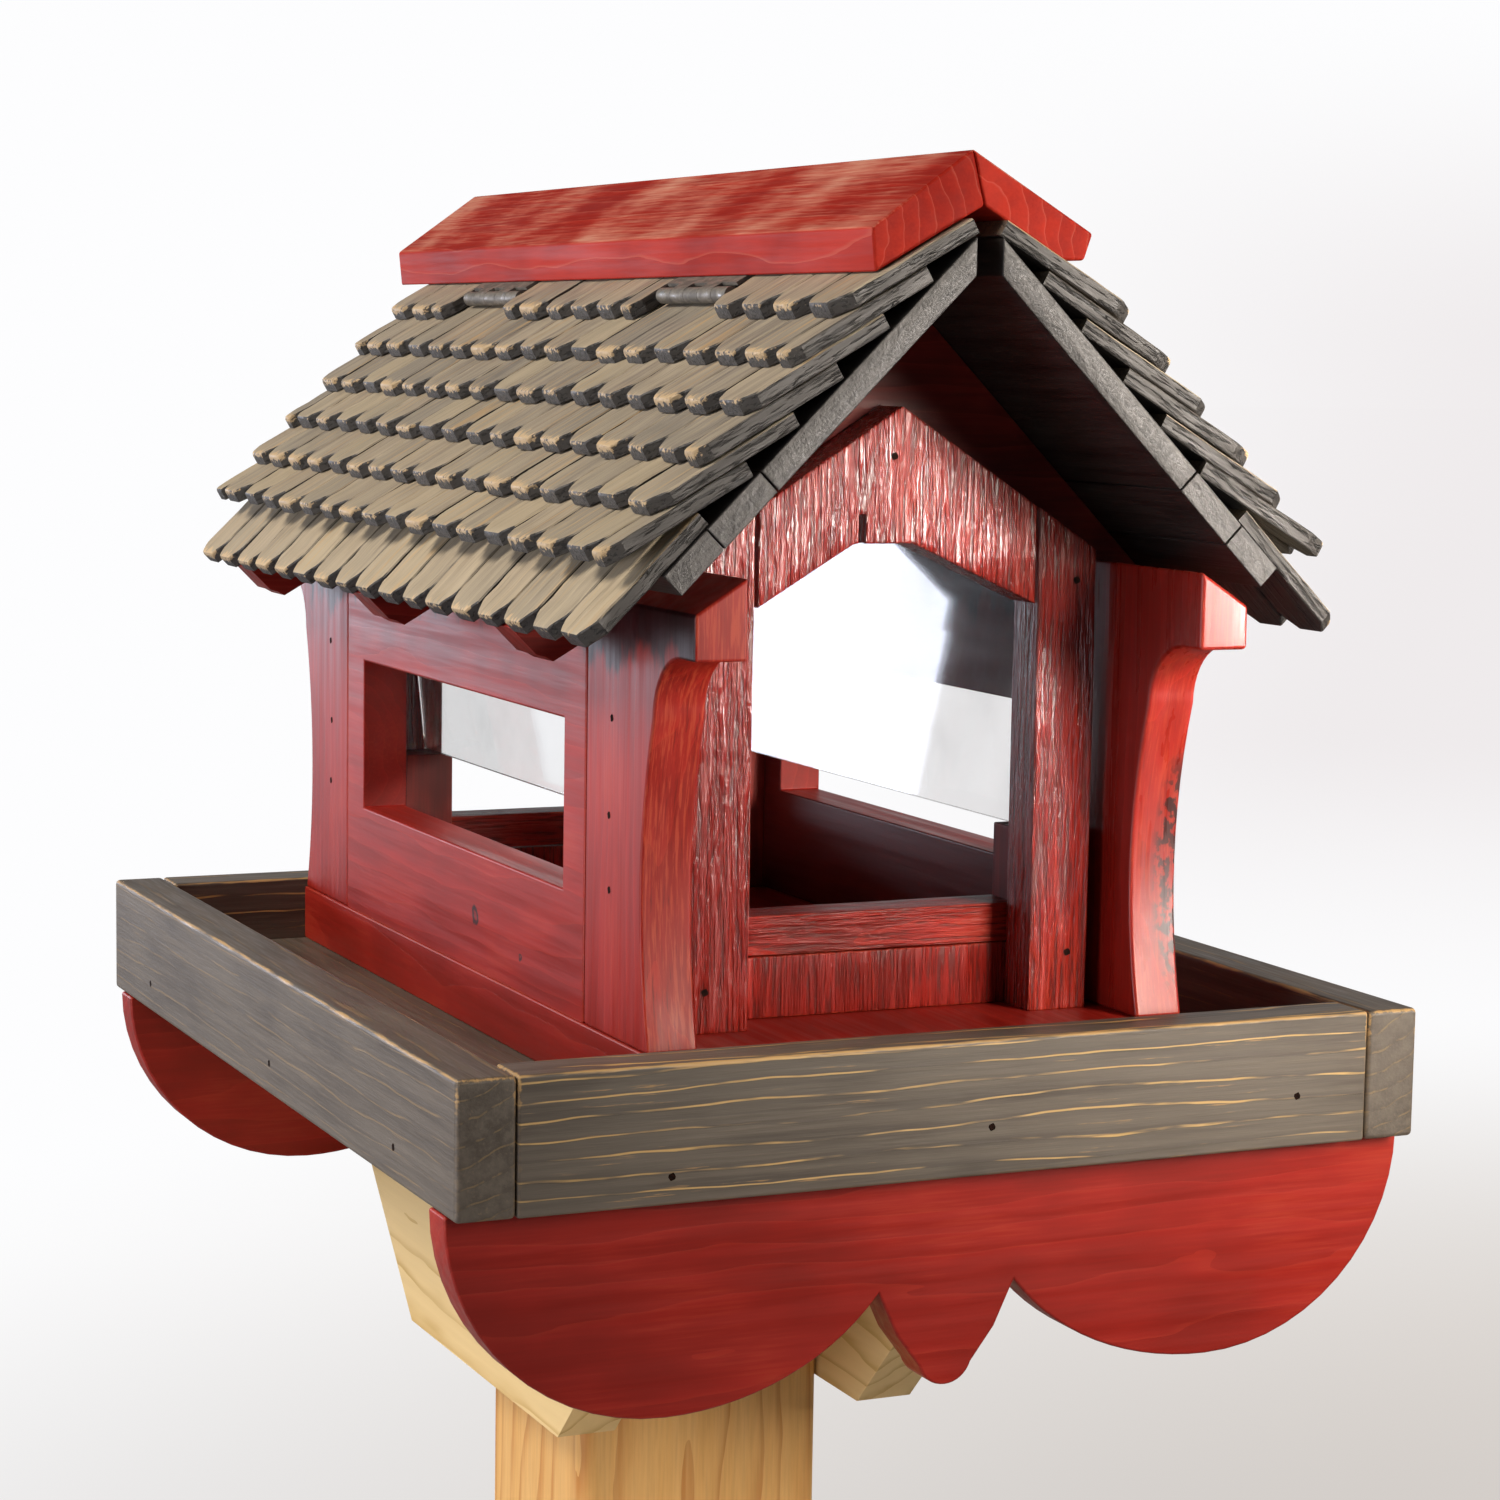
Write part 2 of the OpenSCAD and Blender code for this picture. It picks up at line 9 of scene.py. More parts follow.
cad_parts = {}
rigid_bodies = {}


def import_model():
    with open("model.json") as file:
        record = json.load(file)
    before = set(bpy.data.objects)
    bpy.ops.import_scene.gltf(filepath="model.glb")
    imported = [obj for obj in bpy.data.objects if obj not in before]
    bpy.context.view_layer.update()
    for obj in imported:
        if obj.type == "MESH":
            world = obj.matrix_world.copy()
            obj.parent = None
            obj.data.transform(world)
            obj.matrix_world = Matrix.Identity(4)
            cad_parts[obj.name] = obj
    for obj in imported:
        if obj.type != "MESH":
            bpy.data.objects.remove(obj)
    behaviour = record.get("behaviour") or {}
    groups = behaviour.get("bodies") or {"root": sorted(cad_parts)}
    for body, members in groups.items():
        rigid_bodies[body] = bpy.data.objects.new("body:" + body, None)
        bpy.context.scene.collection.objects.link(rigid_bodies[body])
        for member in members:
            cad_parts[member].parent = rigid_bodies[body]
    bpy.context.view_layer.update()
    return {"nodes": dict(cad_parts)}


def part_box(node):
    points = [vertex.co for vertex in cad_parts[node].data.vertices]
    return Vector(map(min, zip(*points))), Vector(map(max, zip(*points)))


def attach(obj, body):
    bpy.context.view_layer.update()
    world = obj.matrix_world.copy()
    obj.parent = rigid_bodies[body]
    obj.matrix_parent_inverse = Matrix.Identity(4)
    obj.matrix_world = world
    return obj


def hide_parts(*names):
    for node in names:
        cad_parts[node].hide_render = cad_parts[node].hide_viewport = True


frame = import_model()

MM = 0.001

# The roof's slope and its slats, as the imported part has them
ROOF_PITCH = math.radians(45)
SLAT_TILT = math.radians(15.17)
SLAT_L = 55 * MM
SLAT_T = 5.5 * MM
SLAT_GAP = 1.2 * MM
SLAT_CLIP = 6 * MM
COURSES = 7
SLATS = 17

# The middle of the house, across
ROOF_X = (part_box("truss_middle")[0].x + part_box("truss_middle")[1].x) / 2


# Small helpers

def linear(hex_colour):
    """An sRGB hex colour as linear red, green, blue, alpha."""
    parts = [int(hex_colour[i:i + 2], 16) / 255 for i in (1, 3, 5)]
    return [c / 12.92 if c <= 0.04045 else ((c + 0.055) / 1.055) ** 2.4 for c in parts] + [1.0]


def add(tree, kind, inputs=None, **settings):
    """Adds a node with its settings. inputs holds a value, a hex colour or another node's socket
    for each input, by name or number."""
    made = tree.nodes.new(kind)
    for name, value in settings.items():
        setattr(made, name, value)
    for key, value in (inputs or {}).items():
        socket = made.inputs[key]
        if isinstance(value, bpy.types.NodeSocket):
            tree.links.new(value, socket)
        elif socket.type == "RGBA" and isinstance(value, str):
            socket.default_value = linear(value)
        else:
            socket.default_value = value
    return made


# Settings of the two nodes that most patterns use. In a smooth step, input 0 is the value, 1 and 2
# are its range, and 3 and 4 are what that range becomes, 0 to 1 unless they are given. In a mix
# of colours, input 0 is the share of colour 7 over colour 6
SMOOTH = {"interpolation_type": "SMOOTHSTEP"}
COLOURS = {"data_type": "RGBA"}


def luck_of(name):
    """A board's own number from 0 to 1, the same on each run."""
    return random.Random(name).random()


def in_scene(name, data):
    """A new object, linked to the scene."""
    made = bpy.data.objects.new(name, data)
    bpy.context.scene.collection.objects.link(made)
    return made


def new_object(name, mesh, material, body, *nodes):
    """Links a finished mesh as a piece that rides on a body and stands for CAD nodes."""
    piece = in_scene(name, mesh)
    if material:
        mesh.materials.clear()
        mesh.materials.append(material)
    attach(piece, body)
    if nodes:
        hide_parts(*nodes)
    return piece


def baked(piece):
    """The mesh of an object with its modifiers applied, as a plain mesh."""
    bpy.context.view_layer.update()
    graph = bpy.context.evaluated_depsgraph_get()
    return bpy.data.meshes.new_from_object(piece.evaluated_get(graph), depsgraph=graph,
                                           preserve_all_data_layers=True)


# Every board carries the place of each point along its grain, across its width and through its
# thickness, its half sizes, and its own luck number. The three axes for each way a board lies:
AXES = {
    "x": (Vector((1, 0, 0)), Vector((0, 0, 1)), Vector((0, 1, 0))),
    "y": (Vector((0, 1, 0)), Vector((0, 0, 1)), Vector((1, 0, 0))),
    "z": (Vector((0, 0, 1)), Vector((1, 0, 0)), Vector((0, 1, 0))),
    "y_flat": (Vector((0, 1, 0)), Vector((1, 0, 0)), Vector((0, 0, 1))),
    "right_slope": (Vector((0, 1, 0)), Vector((1, 0, -1)).normalized(), Vector((1, 0, 1)).normalized()),
    "left_slope": (Vector((0, 1, 0)), Vector((-1, 0, -1)).normalized(), Vector((-1, 0, 1)).normalized()),
}


def store(mesh, name, kind, values):
    """Stores one value per point as a named attribute."""
    attribute = mesh.attributes.get(name) or mesh.attributes.new(name, kind, "POINT")
    key = "vector" if kind == "FLOAT_VECTOR" else "value"
    flat = [c for v in values for c in v] if kind == "FLOAT_VECTOR" else list(values)
    attribute.data.foreach_set(key, flat)


def board_coordinates(mesh, axes, luck):
    """Stores board, half and luck on a mesh whose grain runs along the first of three axes."""
    rows = [[v.co.dot(a) for a in axes] for v in mesh.vertices]
    low = [min(r[i] for r in rows) for i in range(3)]
    high = [max(r[i] for r in rows) for i in range(3)]
    middle = [(a + b) / 2 for a, b in zip(low, high)]
    half = [(b - a) / 2 for a, b in zip(low, high)]
    store(mesh, "board", "FLOAT_VECTOR", [[r[i] - middle[i] for i in range(3)] for r in rows])
    store(mesh, "half", "FLOAT_VECTOR", [half] * len(rows))
    store(mesh, "luck", "FLOAT", [luck] * len(rows))


# Materials

def new_material(name):
    """An empty node material, and its tree."""
    material = bpy.data.materials.new(name)
    material.use_nodes = True
    material.node_tree.nodes.clear()
    return material, material.node_tree


def stretched(tree, place, sizes, detail=3.0, rough=0.55, distortion=0.0):
    """Noise whose features are about sizes millimetres along, across and through the board."""
    scale = [1 / (s * MM) for s in sizes]
    moved = add(tree, "ShaderNodeVectorMath", {0: place, 1: scale}, operation="MULTIPLY").outputs[0]
    return add(tree, "ShaderNodeTexNoise", {"Vector": moved, "Scale": 1.0, "Detail": detail,
                                            "Roughness": rough, "Distortion": distortion}).outputs["Fac"]


def total(tree, *weighted):
    """The sum of sockets, each times its weight."""
    result = None
    for socket, weight in weighted:
        part = add(tree, "ShaderNodeMath", {0: socket, 1: weight}, operation="MULTIPLY").outputs[0]
        if result is not None:
            part = add(tree, "ShaderNodeMath", {0: result, 1: part}, operation="ADD").outputs[0]
        result = part
    return result


def finish(tree, colour, roughness, height=None, depth_mm=0.2, **values):
    """Ends a tree in one Principled shader, with a bump of a real depth."""
    inputs = {"Base Color": colour, "Roughness": roughness}
    inputs.update(values)
    if height is not None:
        bump = add(tree, "ShaderNodeBump", {"Strength": 1.0, "Distance": depth_mm * MM, "Height": height})
        inputs["Normal"] = bump.outputs[0]
    shader = add(tree, "ShaderNodeBsdfPrincipled", inputs)
    add(tree, "ShaderNodeOutputMaterial", {"Surface": shader.outputs[0]})


def wood(tree, ring_mm=4.0, wander=2.5, pith_mm=(8.0, 30.0)):
    """The parts of a wood pattern, each from 0 to 1, in the board's own coordinates: year rings
    round a pith that lies some millimetres across and through from the board's middle, fine
    fibres, long streaks, slow patches, and the distance in metres from the nearest long edge.
    Real fibres are a tenth of a millimetre wide. They are drawn about 1 mm wide, so that they
    show in the render."""
    board = add(tree, "ShaderNodeAttribute", attribute_name="board").outputs["Vector"]
    half = add(tree, "ShaderNodeAttribute", attribute_name="half").outputs["Vector"]
    luck = add(tree, "ShaderNodeAttribute", attribute_name="luck").outputs["Fac"]
    shift = add(tree, "ShaderNodeVectorMath", {0: (3.7, 1.9, 2.3), 3: luck}, operation="SCALE").outputs[0]
    place = add(tree, "ShaderNodeVectorMath", {0: board, 1: shift}, operation="ADD").outputs[0]
    across, through = pith_mm[0] * MM, pith_mm[1] * MM
    pith_luck = (0.0, 12 * MM, 9 * MM)
    away = add(tree, "ShaderNodeVectorMath", {0: pith_luck, 3: luck}, operation="SCALE").outputs[0]
    away = add(tree, "ShaderNodeVectorMath", {
        0: away, 1: (0.0, across, through)}, operation="ADD").outputs[0]
    from_pith = add(tree, "ShaderNodeVectorMath", {0: board, 1: away}, operation="ADD").outputs[0]
    from_pith = add(tree, "ShaderNodeVectorMath", {
        0: from_pith, 1: (0.0, 1.0, 1.0)}, operation="MULTIPLY").outputs[0]
    radius = add(tree, "ShaderNodeVectorMath", {0: from_pith}, operation="LENGTH").outputs["Value"]
    warp = stretched(tree, place, (170, 30, 30), 2.0)
    turns = total(tree, (radius, 1 / (ring_mm * MM)), (warp, wander * 2),
                  (stretched(tree, place, (45, 9, 9), 2.0), 0.5))
    saw = add(tree, "ShaderNodeMath", {0: turns}, operation="FRACT").outputs[0]
    from_middle = add(tree, "ShaderNodeVectorMath", {0: board}, operation="ABSOLUTE").outputs[0]
    room = add(tree, "ShaderNodeVectorMath", {0: half, 1: from_middle}, operation="SUBTRACT").outputs[0]
    gaps = add(tree, "ShaderNodeSeparateXYZ", {0: room}).outputs
    low = add(tree, "ShaderNodeMath", {0: gaps[0], 1: gaps[1]}, operation="MINIMUM").outputs[0]
    high = add(tree, "ShaderNodeMath", {0: gaps[0], 1: gaps[1]}, operation="MAXIMUM").outputs[0]
    lower = add(tree, "ShaderNodeMath", {0: high, 1: gaps[2]}, operation="MINIMUM").outputs[0]
    edge = add(tree, "ShaderNodeMath", {0: low, 1: lower}, operation="MAXIMUM").outputs[0]
    rings = add(tree, "ShaderNodeMath", {0: saw, 1: 2.6}, operation="POWER").outputs[0]
    return {
        "place": place,
        "board": board,
        "luck": luck,
        "saw": saw,
        "rings": rings,
        "fibre": stretched(tree, place, (26, 1.1, 1.1), 4.0, 0.6),
        "streak": stretched(tree, place, (120, 5, 5), 3.0, 0.6),
        "patch": stretched(tree, place, (60, 34, 34), 3.0, 0.5),
        "edge": edge,
    }


def surface_parts(tree):
    """Where a point lies in metres, whole and as X, Y, Z, and which way its face looks."""
    place = add(tree, "ShaderNodeTexCoord").outputs["Object"]
    parts = add(tree, "ShaderNodeSeparateXYZ", {0: place}).outputs
    normal = add(tree, "ShaderNodeNewGeometry").outputs["Normal"]
    facing = add(tree, "ShaderNodeSeparateXYZ", {0: normal}).outputs
    return place, parts, facing


def off_by(tree, place, middle, scale=None):
    """The distance from a middle in metres, or in the unit that a scale for X, Y, Z gives."""
    off = add(tree, "ShaderNodeVectorMath", {0: place, 1: middle}, operation="SUBTRACT").outputs[0]
    if scale:
        off = add(tree, "ShaderNodeVectorMath", {0: off, 1: scale}, operation="MULTIPLY").outputs[0]
    return add(tree, "ShaderNodeVectorMath", {0: off}, operation="LENGTH").outputs["Value"]


def painted_shade_inside(tree, colour, parts, facing):
    """Painted shade: the faces that look towards the middle of the house are darkened to a deep red, for
    the shade inside the house.
    """
    from_middle = add(tree, "ShaderNodeMath", {0: parts["X"], 1: ROOF_X}, operation="SUBTRACT").outputs[0]
    inward = add(tree, "ShaderNodeMath", {
        0: from_middle, 1: facing["X"]}, operation="MULTIPLY").outputs[0]
    return add(tree, "ShaderNodeMix", {
        0: add(tree, "ShaderNodeMapRange", {0: inward, 1: -0.02, 2: -0.06, 4: 0.8}, **SMOOTH).outputs[0],
        6: colour, 7: "#3a0e0a"}, **COLOURS).outputs[2]


def stain_runs(tree, colour, place, parts, facing, low, high):
    """Black roof stain that has run down over the side faces, ragged between two heights."""
    blots = stretched(tree, place, (20, 20, 55), 4.0, 0.6)
    reach = total(tree, (parts["Z"], 1.0), (blots, 2.2 * (high - low)))
    full = high + 0.62 * (high - low)
    side = add(tree, "ShaderNodeMapRange", {
        0: add(tree, "ShaderNodeMath", {0: facing["X"]}, operation="ABSOLUTE").outputs[0],
        1: 0.5, 2: 0.8, 4: 0.9}, **SMOOTH).outputs[0]
    black = add(tree, "ShaderNodeMath", {
        0: add(tree, "ShaderNodeMapRange", {0: reach, 1: full, 2: full + 0.009}, **SMOOTH).outputs[0],
        1: side}, operation="MULTIPLY").outputs[0]
    return add(tree, "ShaderNodeMix", {0: black, 6: colour, 7: "#17151a"}, **COLOURS).outputs[2]


def knot(tree, colour, place, middle, size_mm):
    """A small knot: a dark ring round a brown heart, which show through the paint."""
    wobble = stretched(tree, place, (size_mm, size_mm, size_mm), 2.0)
    far = total(tree, (off_by(tree, place, middle), 1.0), (wobble, size_mm * MM))
    far = add(tree, "ShaderNodeMath", {0: far, 1: size_mm * MM}, operation="DIVIDE").outputs[0]
    ring = add(tree, "ShaderNodeMath", {
        0: add(tree, "ShaderNodeMapRange", {0: far, 1: 0.75, 2: 0.95}, **SMOOTH).outputs[0],
        1: add(tree, "ShaderNodeMapRange", {0: far, 1: 1.35, 2: 1.1}, **SMOOTH).outputs[0],
    }, operation="MULTIPLY").outputs[0]
    colour = add(tree, "ShaderNodeMix", {
        0: add(tree, "ShaderNodeMapRange", {0: far, 1: 0.95, 2: 0.75, 4: 0.5}, **SMOOTH).outputs[0],
        6: colour, 7: "#6a1c14"}, **COLOURS).outputs[2]
    return add(tree, "ShaderNodeMix", {0: ring, 6: colour, 7: "#2e0c0a"}, **COLOURS).outputs[2]


def open_fibres(tree, colour, place, facing, amount, worn):
    """Short pale and dark strokes where a cut edge that looks to front or back has drunk the paint."""
    front = add(tree, "ShaderNodeMapRange", {
        0: add(tree, "ShaderNodeMath", {0: facing["Y"]}, operation="ABSOLUTE").outputs[0],
        1: 0.3, 2: 0.7, 4: amount}, **SMOOTH).outputs[0]
    hairs = stretched(tree, place, (0.9, 6, 20), 4.0, 0.65, 0.2)
    pale = add(tree, "ShaderNodeMath", {
        0: add(tree, "ShaderNodeMapRange", {0: hairs, 1: 0.50, 2: 0.60}, **SMOOTH).outputs[0],
        1: front}, operation="MULTIPLY").outputs[0]
    dark = add(tree, "ShaderNodeMath", {
        0: add(tree, "ShaderNodeMapRange", {0: hairs, 1: 0.42, 2: 0.34}, **SMOOTH).outputs[0],
        1: front}, operation="MULTIPLY").outputs[0]
    colour = add(tree, "ShaderNodeMix", {0: pale, 6: colour, 7: worn}, **COLOURS).outputs[2]
    return add(tree, "ShaderNodeMix", {0: dark, 6: colour, 7: "#5a140e"}, **COLOURS).outputs[2]


def scrape(tree, colour, place, middle):
    """A scrape down to dark wood, in short bars round a middle: 9, 33 and 50 mm long in X, Y, Z."""
    near = off_by(tree, place, middle, (110.0, 30.0, 20.0))
    bars = stretched(tree, place, (3, 12, 5), 3.0, 0.6)
    bare = add(tree, "ShaderNodeMath", {
        0: add(tree, "ShaderNodeMapRange", {0: near, 1: 1.0, 2: 0.6}, **SMOOTH).outputs[0],
        1: add(tree, "ShaderNodeMapRange", {0: bars, 1: 0.46, 2: 0.54}, **SMOOTH).outputs[0],
    }, operation="MULTIPLY").outputs[0]
    return add(tree, "ShaderNodeMix", {0: bare, 6: colour, 7: "#3b1512"}, **COLOURS).outputs[2]


def barn_red(name, deep="#851c13", main="#a9241a", worn="#b5492f", rub=0.35, gloss=0.40,
             grain_depth=0.05, shine=0.32, sawn=0.0, weathered=False, inside=False,
             drips=None, knots=(), fibres=0.0, scraped=None):
    """Softwood under one brushed coat of satin barn red: an even, slightly orange red in which
    the grain just shows, darker where the coat pools and rubbed paler on edges and tops.
    sawn: how much the coat follows the torn ridges of a rough-sawn face; where it is not 0, the furrows
    are darkened with painted shade.
    weathered: whether the coat is rubbed only where it faces up.
    inside: whether the faces towards the middle of the house are darkened with painted shade.
    drips: lowest and highest reach in metres of black stain that has run down from the roof.
    knots: the place of each knot in metres and its size in millimetres.
    fibres: how much the open fibres show on cut edges at the front and the back.
    scraped: a point in metres round which the coat is scraped off."""
    material, tree = new_material(name)
    w = wood(tree, ring_mm=6.0, wander=1.6)
    place, parts, facing = surface_parts(tree)
    tone = total(tree, (w["streak"], 0.22), (w["fibre"], 0.18), (w["rings"], 0.10), (w["patch"], 0.60))
    colour = add(tree, "ShaderNodeMix", {
        0: add(tree, "ShaderNodeMapRange", {0: tone, 1: 0.34, 2: 0.72}, **SMOOTH).outputs[0],
        6: deep, 7: main}, **COLOURS).outputs[2]
    colour = add(tree, "ShaderNodeMix", {
        0: add(tree, "ShaderNodeMapRange", {0: w["luck"], 1: 0.0, 2: 1.0, 4: 0.10}, **SMOOTH).outputs[0],
        6: colour, 7: "#8a2018"}, **COLOURS).outputs[2]
    thin = total(tree, (w["patch"], 0.6), (w["fibre"], 0.4))
    low, high = (0.42, 0.80) if weathered else (0.52, 0.72)
    thin = add(tree, "ShaderNodeMapRange", {0: thin, 1: low, 2: high}, **SMOOTH).outputs[0]
    ragged = add(tree, "ShaderNodeMath", {0: w["fibre"], 1: 1.6 * MM}, operation="MULTIPLY").outputs[0]
    rubbed = add(tree, "ShaderNodeMath", {0: w["edge"], 1: ragged}, operation="ADD").outputs[0]
    rim = add(tree, "ShaderNodeMapRange", {
        0: rubbed, 1: 1.6 * MM, 2: 0.8 * MM, 4: 0.5}, **SMOOTH).outputs[0]
    if weathered:
        up = add(tree, "ShaderNodeMapRange", {0: facing["Z"], 1: 0.2, 2: 0.6}, **SMOOTH).outputs[0]
        thin = add(tree, "ShaderNodeMath", {0: thin, 1: up}, operation="MULTIPLY").outputs[0]
        rim = add(tree, "ShaderNodeMath", {0: rim, 1: up}, operation="MULTIPLY").outputs[0]
    colour = add(tree, "ShaderNodeMix", {
        0: add(tree, "ShaderNodeMath", {0: thin, 1: rub}, operation="MULTIPLY").outputs[0],
        6: colour, 7: worn}, **COLOURS).outputs[2]
    lines = add(tree, "ShaderNodeMath", {
        0: add(tree, "ShaderNodeMapRange", {0: w["saw"], 1: 0.90, 2: 0.98}, **SMOOTH).outputs[0],
        1: 0.10}, operation="MULTIPLY").outputs[0]
    colour = add(tree, "ShaderNodeMix", {0: lines, 6: colour, 7: worn}, **COLOURS).outputs[2]
    colour = add(tree, "ShaderNodeMix", {0: rim, 6: colour, 7: worn}, **COLOURS).outputs[2]
    # Painted shade on the faces inside the house
    if inside:
        colour = painted_shade_inside(tree, colour, parts, facing)
    if drips:
        colour = stain_runs(tree, colour, place, parts, facing, *drips)
    for middle, size_mm in knots:
        colour = knot(tree, colour, place, middle, size_mm)
    if fibres:
        colour = open_fibres(tree, colour, place, facing, fibres, worn)
    if scraped:
        colour = scrape(tree, colour, place, scraped)
    rough = add(tree, "ShaderNodeMapRange", {
        0: w["streak"], 1: 0.3, 2: 0.7, 3: gloss - 0.06, 4: gloss + 0.10}, **SMOOTH).outputs[0]
    brush = stretched(tree, w["place"], (70, 2.2, 2.2), 2.0, 0.5)
    height = total(tree, (w["fibre"], 0.5), (w["rings"], 0.2), (brush, 0.6))
    if sawn:
        torn = add(tree, "ShaderNodeMapRange", {
            0: stretched(tree, w["place"], (22, 1.35, 1.5), 3.0, 0.6, 0.1), 1: 0.36, 2: 0.62,
        }, **SMOOTH).outputs[0]
        fuzz = stretched(tree, w["place"], (5, 0.7, 0.7), 2.0, 0.5)
        height = total(tree, (height, 0.4), (torn, sawn), (fuzz, 0.5 * sawn))
        # Painted shade: the furrows between the saw ridges are darkened
        colour = add(tree, "ShaderNodeMix", {
            0: add(tree, "ShaderNodeMapRange", {0: torn, 1: 0.6, 2: 0.0, 4: 0.75}, **SMOOTH).outputs[0],
            6: colour, 7: "#4f110b"}, **COLOURS).outputs[2]
    finish(tree, colour, rough, height, grain_depth, **{"Specular IOR Level": shine})
    return material


def grey_stain(name, bare_lines=1.0):
    """Pine battens brushed with a thin grey-brown stain: it darkens the soft wood, while the hard
    late rings show as thin tan lines, and the sawn edges are rubbed back to tan wood.
    bare_lines: how much the tan lines show."""
    material, tree = new_material(name)
    w = wood(tree, ring_mm=6.2, wander=0.75, pith_mm=(-90.0, 28.0))
    colour = add(tree, "ShaderNodeMix", {
        0: add(tree, "ShaderNodeMapRange", {0: w["streak"], 1: 0.30, 2: 0.70}, **SMOOTH).outputs[0],
        6: "#4a423a", 7: "#655c52"}, **COLOURS).outputs[2]
    colour = add(tree, "ShaderNodeMix", {
        0: add(tree, "ShaderNodeMapRange", {
            0: w["patch"], 1: 0.35, 2: 0.70, 4: 0.5}, **SMOOTH).outputs[0],
        6: colour, 7: "#6d655b"}, **COLOURS).outputs[2]
    colour = add(tree, "ShaderNodeMix", {
        0: add(tree, "ShaderNodeMapRange", {
            0: w["fibre"], 1: 0.42, 2: 0.78, 4: 0.35}, **SMOOTH).outputs[0],
        6: colour, 7: "#7b7063"}, **COLOURS).outputs[2]
    colour = add(tree, "ShaderNodeMix", {
        0: add(tree, "ShaderNodeMapRange", {0: w["rings"], 1: 0.2, 2: 0.8, 4: 0.45}, **SMOOTH).outputs[0],
        6: colour, 7: "#4a423a"}, **COLOURS).outputs[2]
    bare = stretched(tree, w["place"], (45, 5, 5), 3.0, 0.6)
    late_wood = add(tree, "ShaderNodeMapRange", {0: w["saw"], 1: 0.86, 2: 0.91}, **SMOOTH).outputs[0]
    lines = add(tree, "ShaderNodeMath", {
        0: late_wood,
        1: add(tree, "ShaderNodeMapRange", {0: w["saw"], 1: 0.99, 2: 0.96}, **SMOOTH).outputs[0],
    }, operation="MULTIPLY").outputs[0]
    lines = add(tree, "ShaderNodeMath", {
        0: lines,
        1: add(tree, "ShaderNodeMapRange", {
            0: bare, 1: 0.40, 2: 0.58, 4: bare_lines}, **SMOOTH).outputs[0],
    }, operation="MULTIPLY").outputs[0]
    colour = add(tree, "ShaderNodeMix", {0: lines, 6: colour, 7: "#c8a468"}, **COLOURS).outputs[2]
    pale_fibre = add(tree, "ShaderNodeMapRange", {0: w["fibre"], 1: 0.62, 2: 0.68}, **SMOOTH).outputs[0]
    hairs = add(tree, "ShaderNodeMath", {
        0: pale_fibre,
        1: add(tree, "ShaderNodeMapRange", {0: bare, 1: 0.50, 2: 0.62}, **SMOOTH).outputs[0],
    }, operation="MULTIPLY").outputs[0]
    colour = add(tree, "ShaderNodeMix", {
        0: add(tree, "ShaderNodeMath", {0: hairs, 1: 0.6 * bare_lines}, operation="MULTIPLY").outputs[0],
        6: colour, 7: "#b8905a"}, **COLOURS).outputs[2]
    worn = stretched(tree, w["place"], (24, 2.5, 2.5), 3.0, 0.6)
    ragged = add(tree, "ShaderNodeMath", {0: worn, 1: 3.4 * MM}, operation="MULTIPLY").outputs[0]
    rub = add(tree, "ShaderNodeMath", {0: w["edge"], 1: ragged}, operation="ADD").outputs[0]
    across = add(tree, "ShaderNodeSeparateXYZ", {0: w["board"]}).outputs["Y"]
    top = add(tree, "ShaderNodeMapRange", {
        0: across, 1: 8 * MM, 2: 19 * MM, 3: 0.12}, **SMOOTH).outputs[0]
    rubbed = add(tree, "ShaderNodeMath", {
        0: add(tree, "ShaderNodeMapRange", {
            0: rub, 1: 2.9 * MM, 2: 2.1 * MM, 4: 0.85}, **SMOOTH).outputs[0],
        1: top}, operation="MULTIPLY").outputs[0]
    colour = add(tree, "ShaderNodeMix", {0: rubbed, 6: colour, 7: "#c39d66"}, **COLOURS).outputs[2]
    rough = add(tree, "ShaderNodeMapRange", {
        0: w["fibre"], 1: 0.3, 2: 0.7, 3: 0.40, 4: 0.60}, **SMOOTH).outputs[0]
    height = total(tree, (w["rings"], 0.5), (w["fibre"], 0.5))
    finish(tree, colour, rough, height, 0.22)
    return material


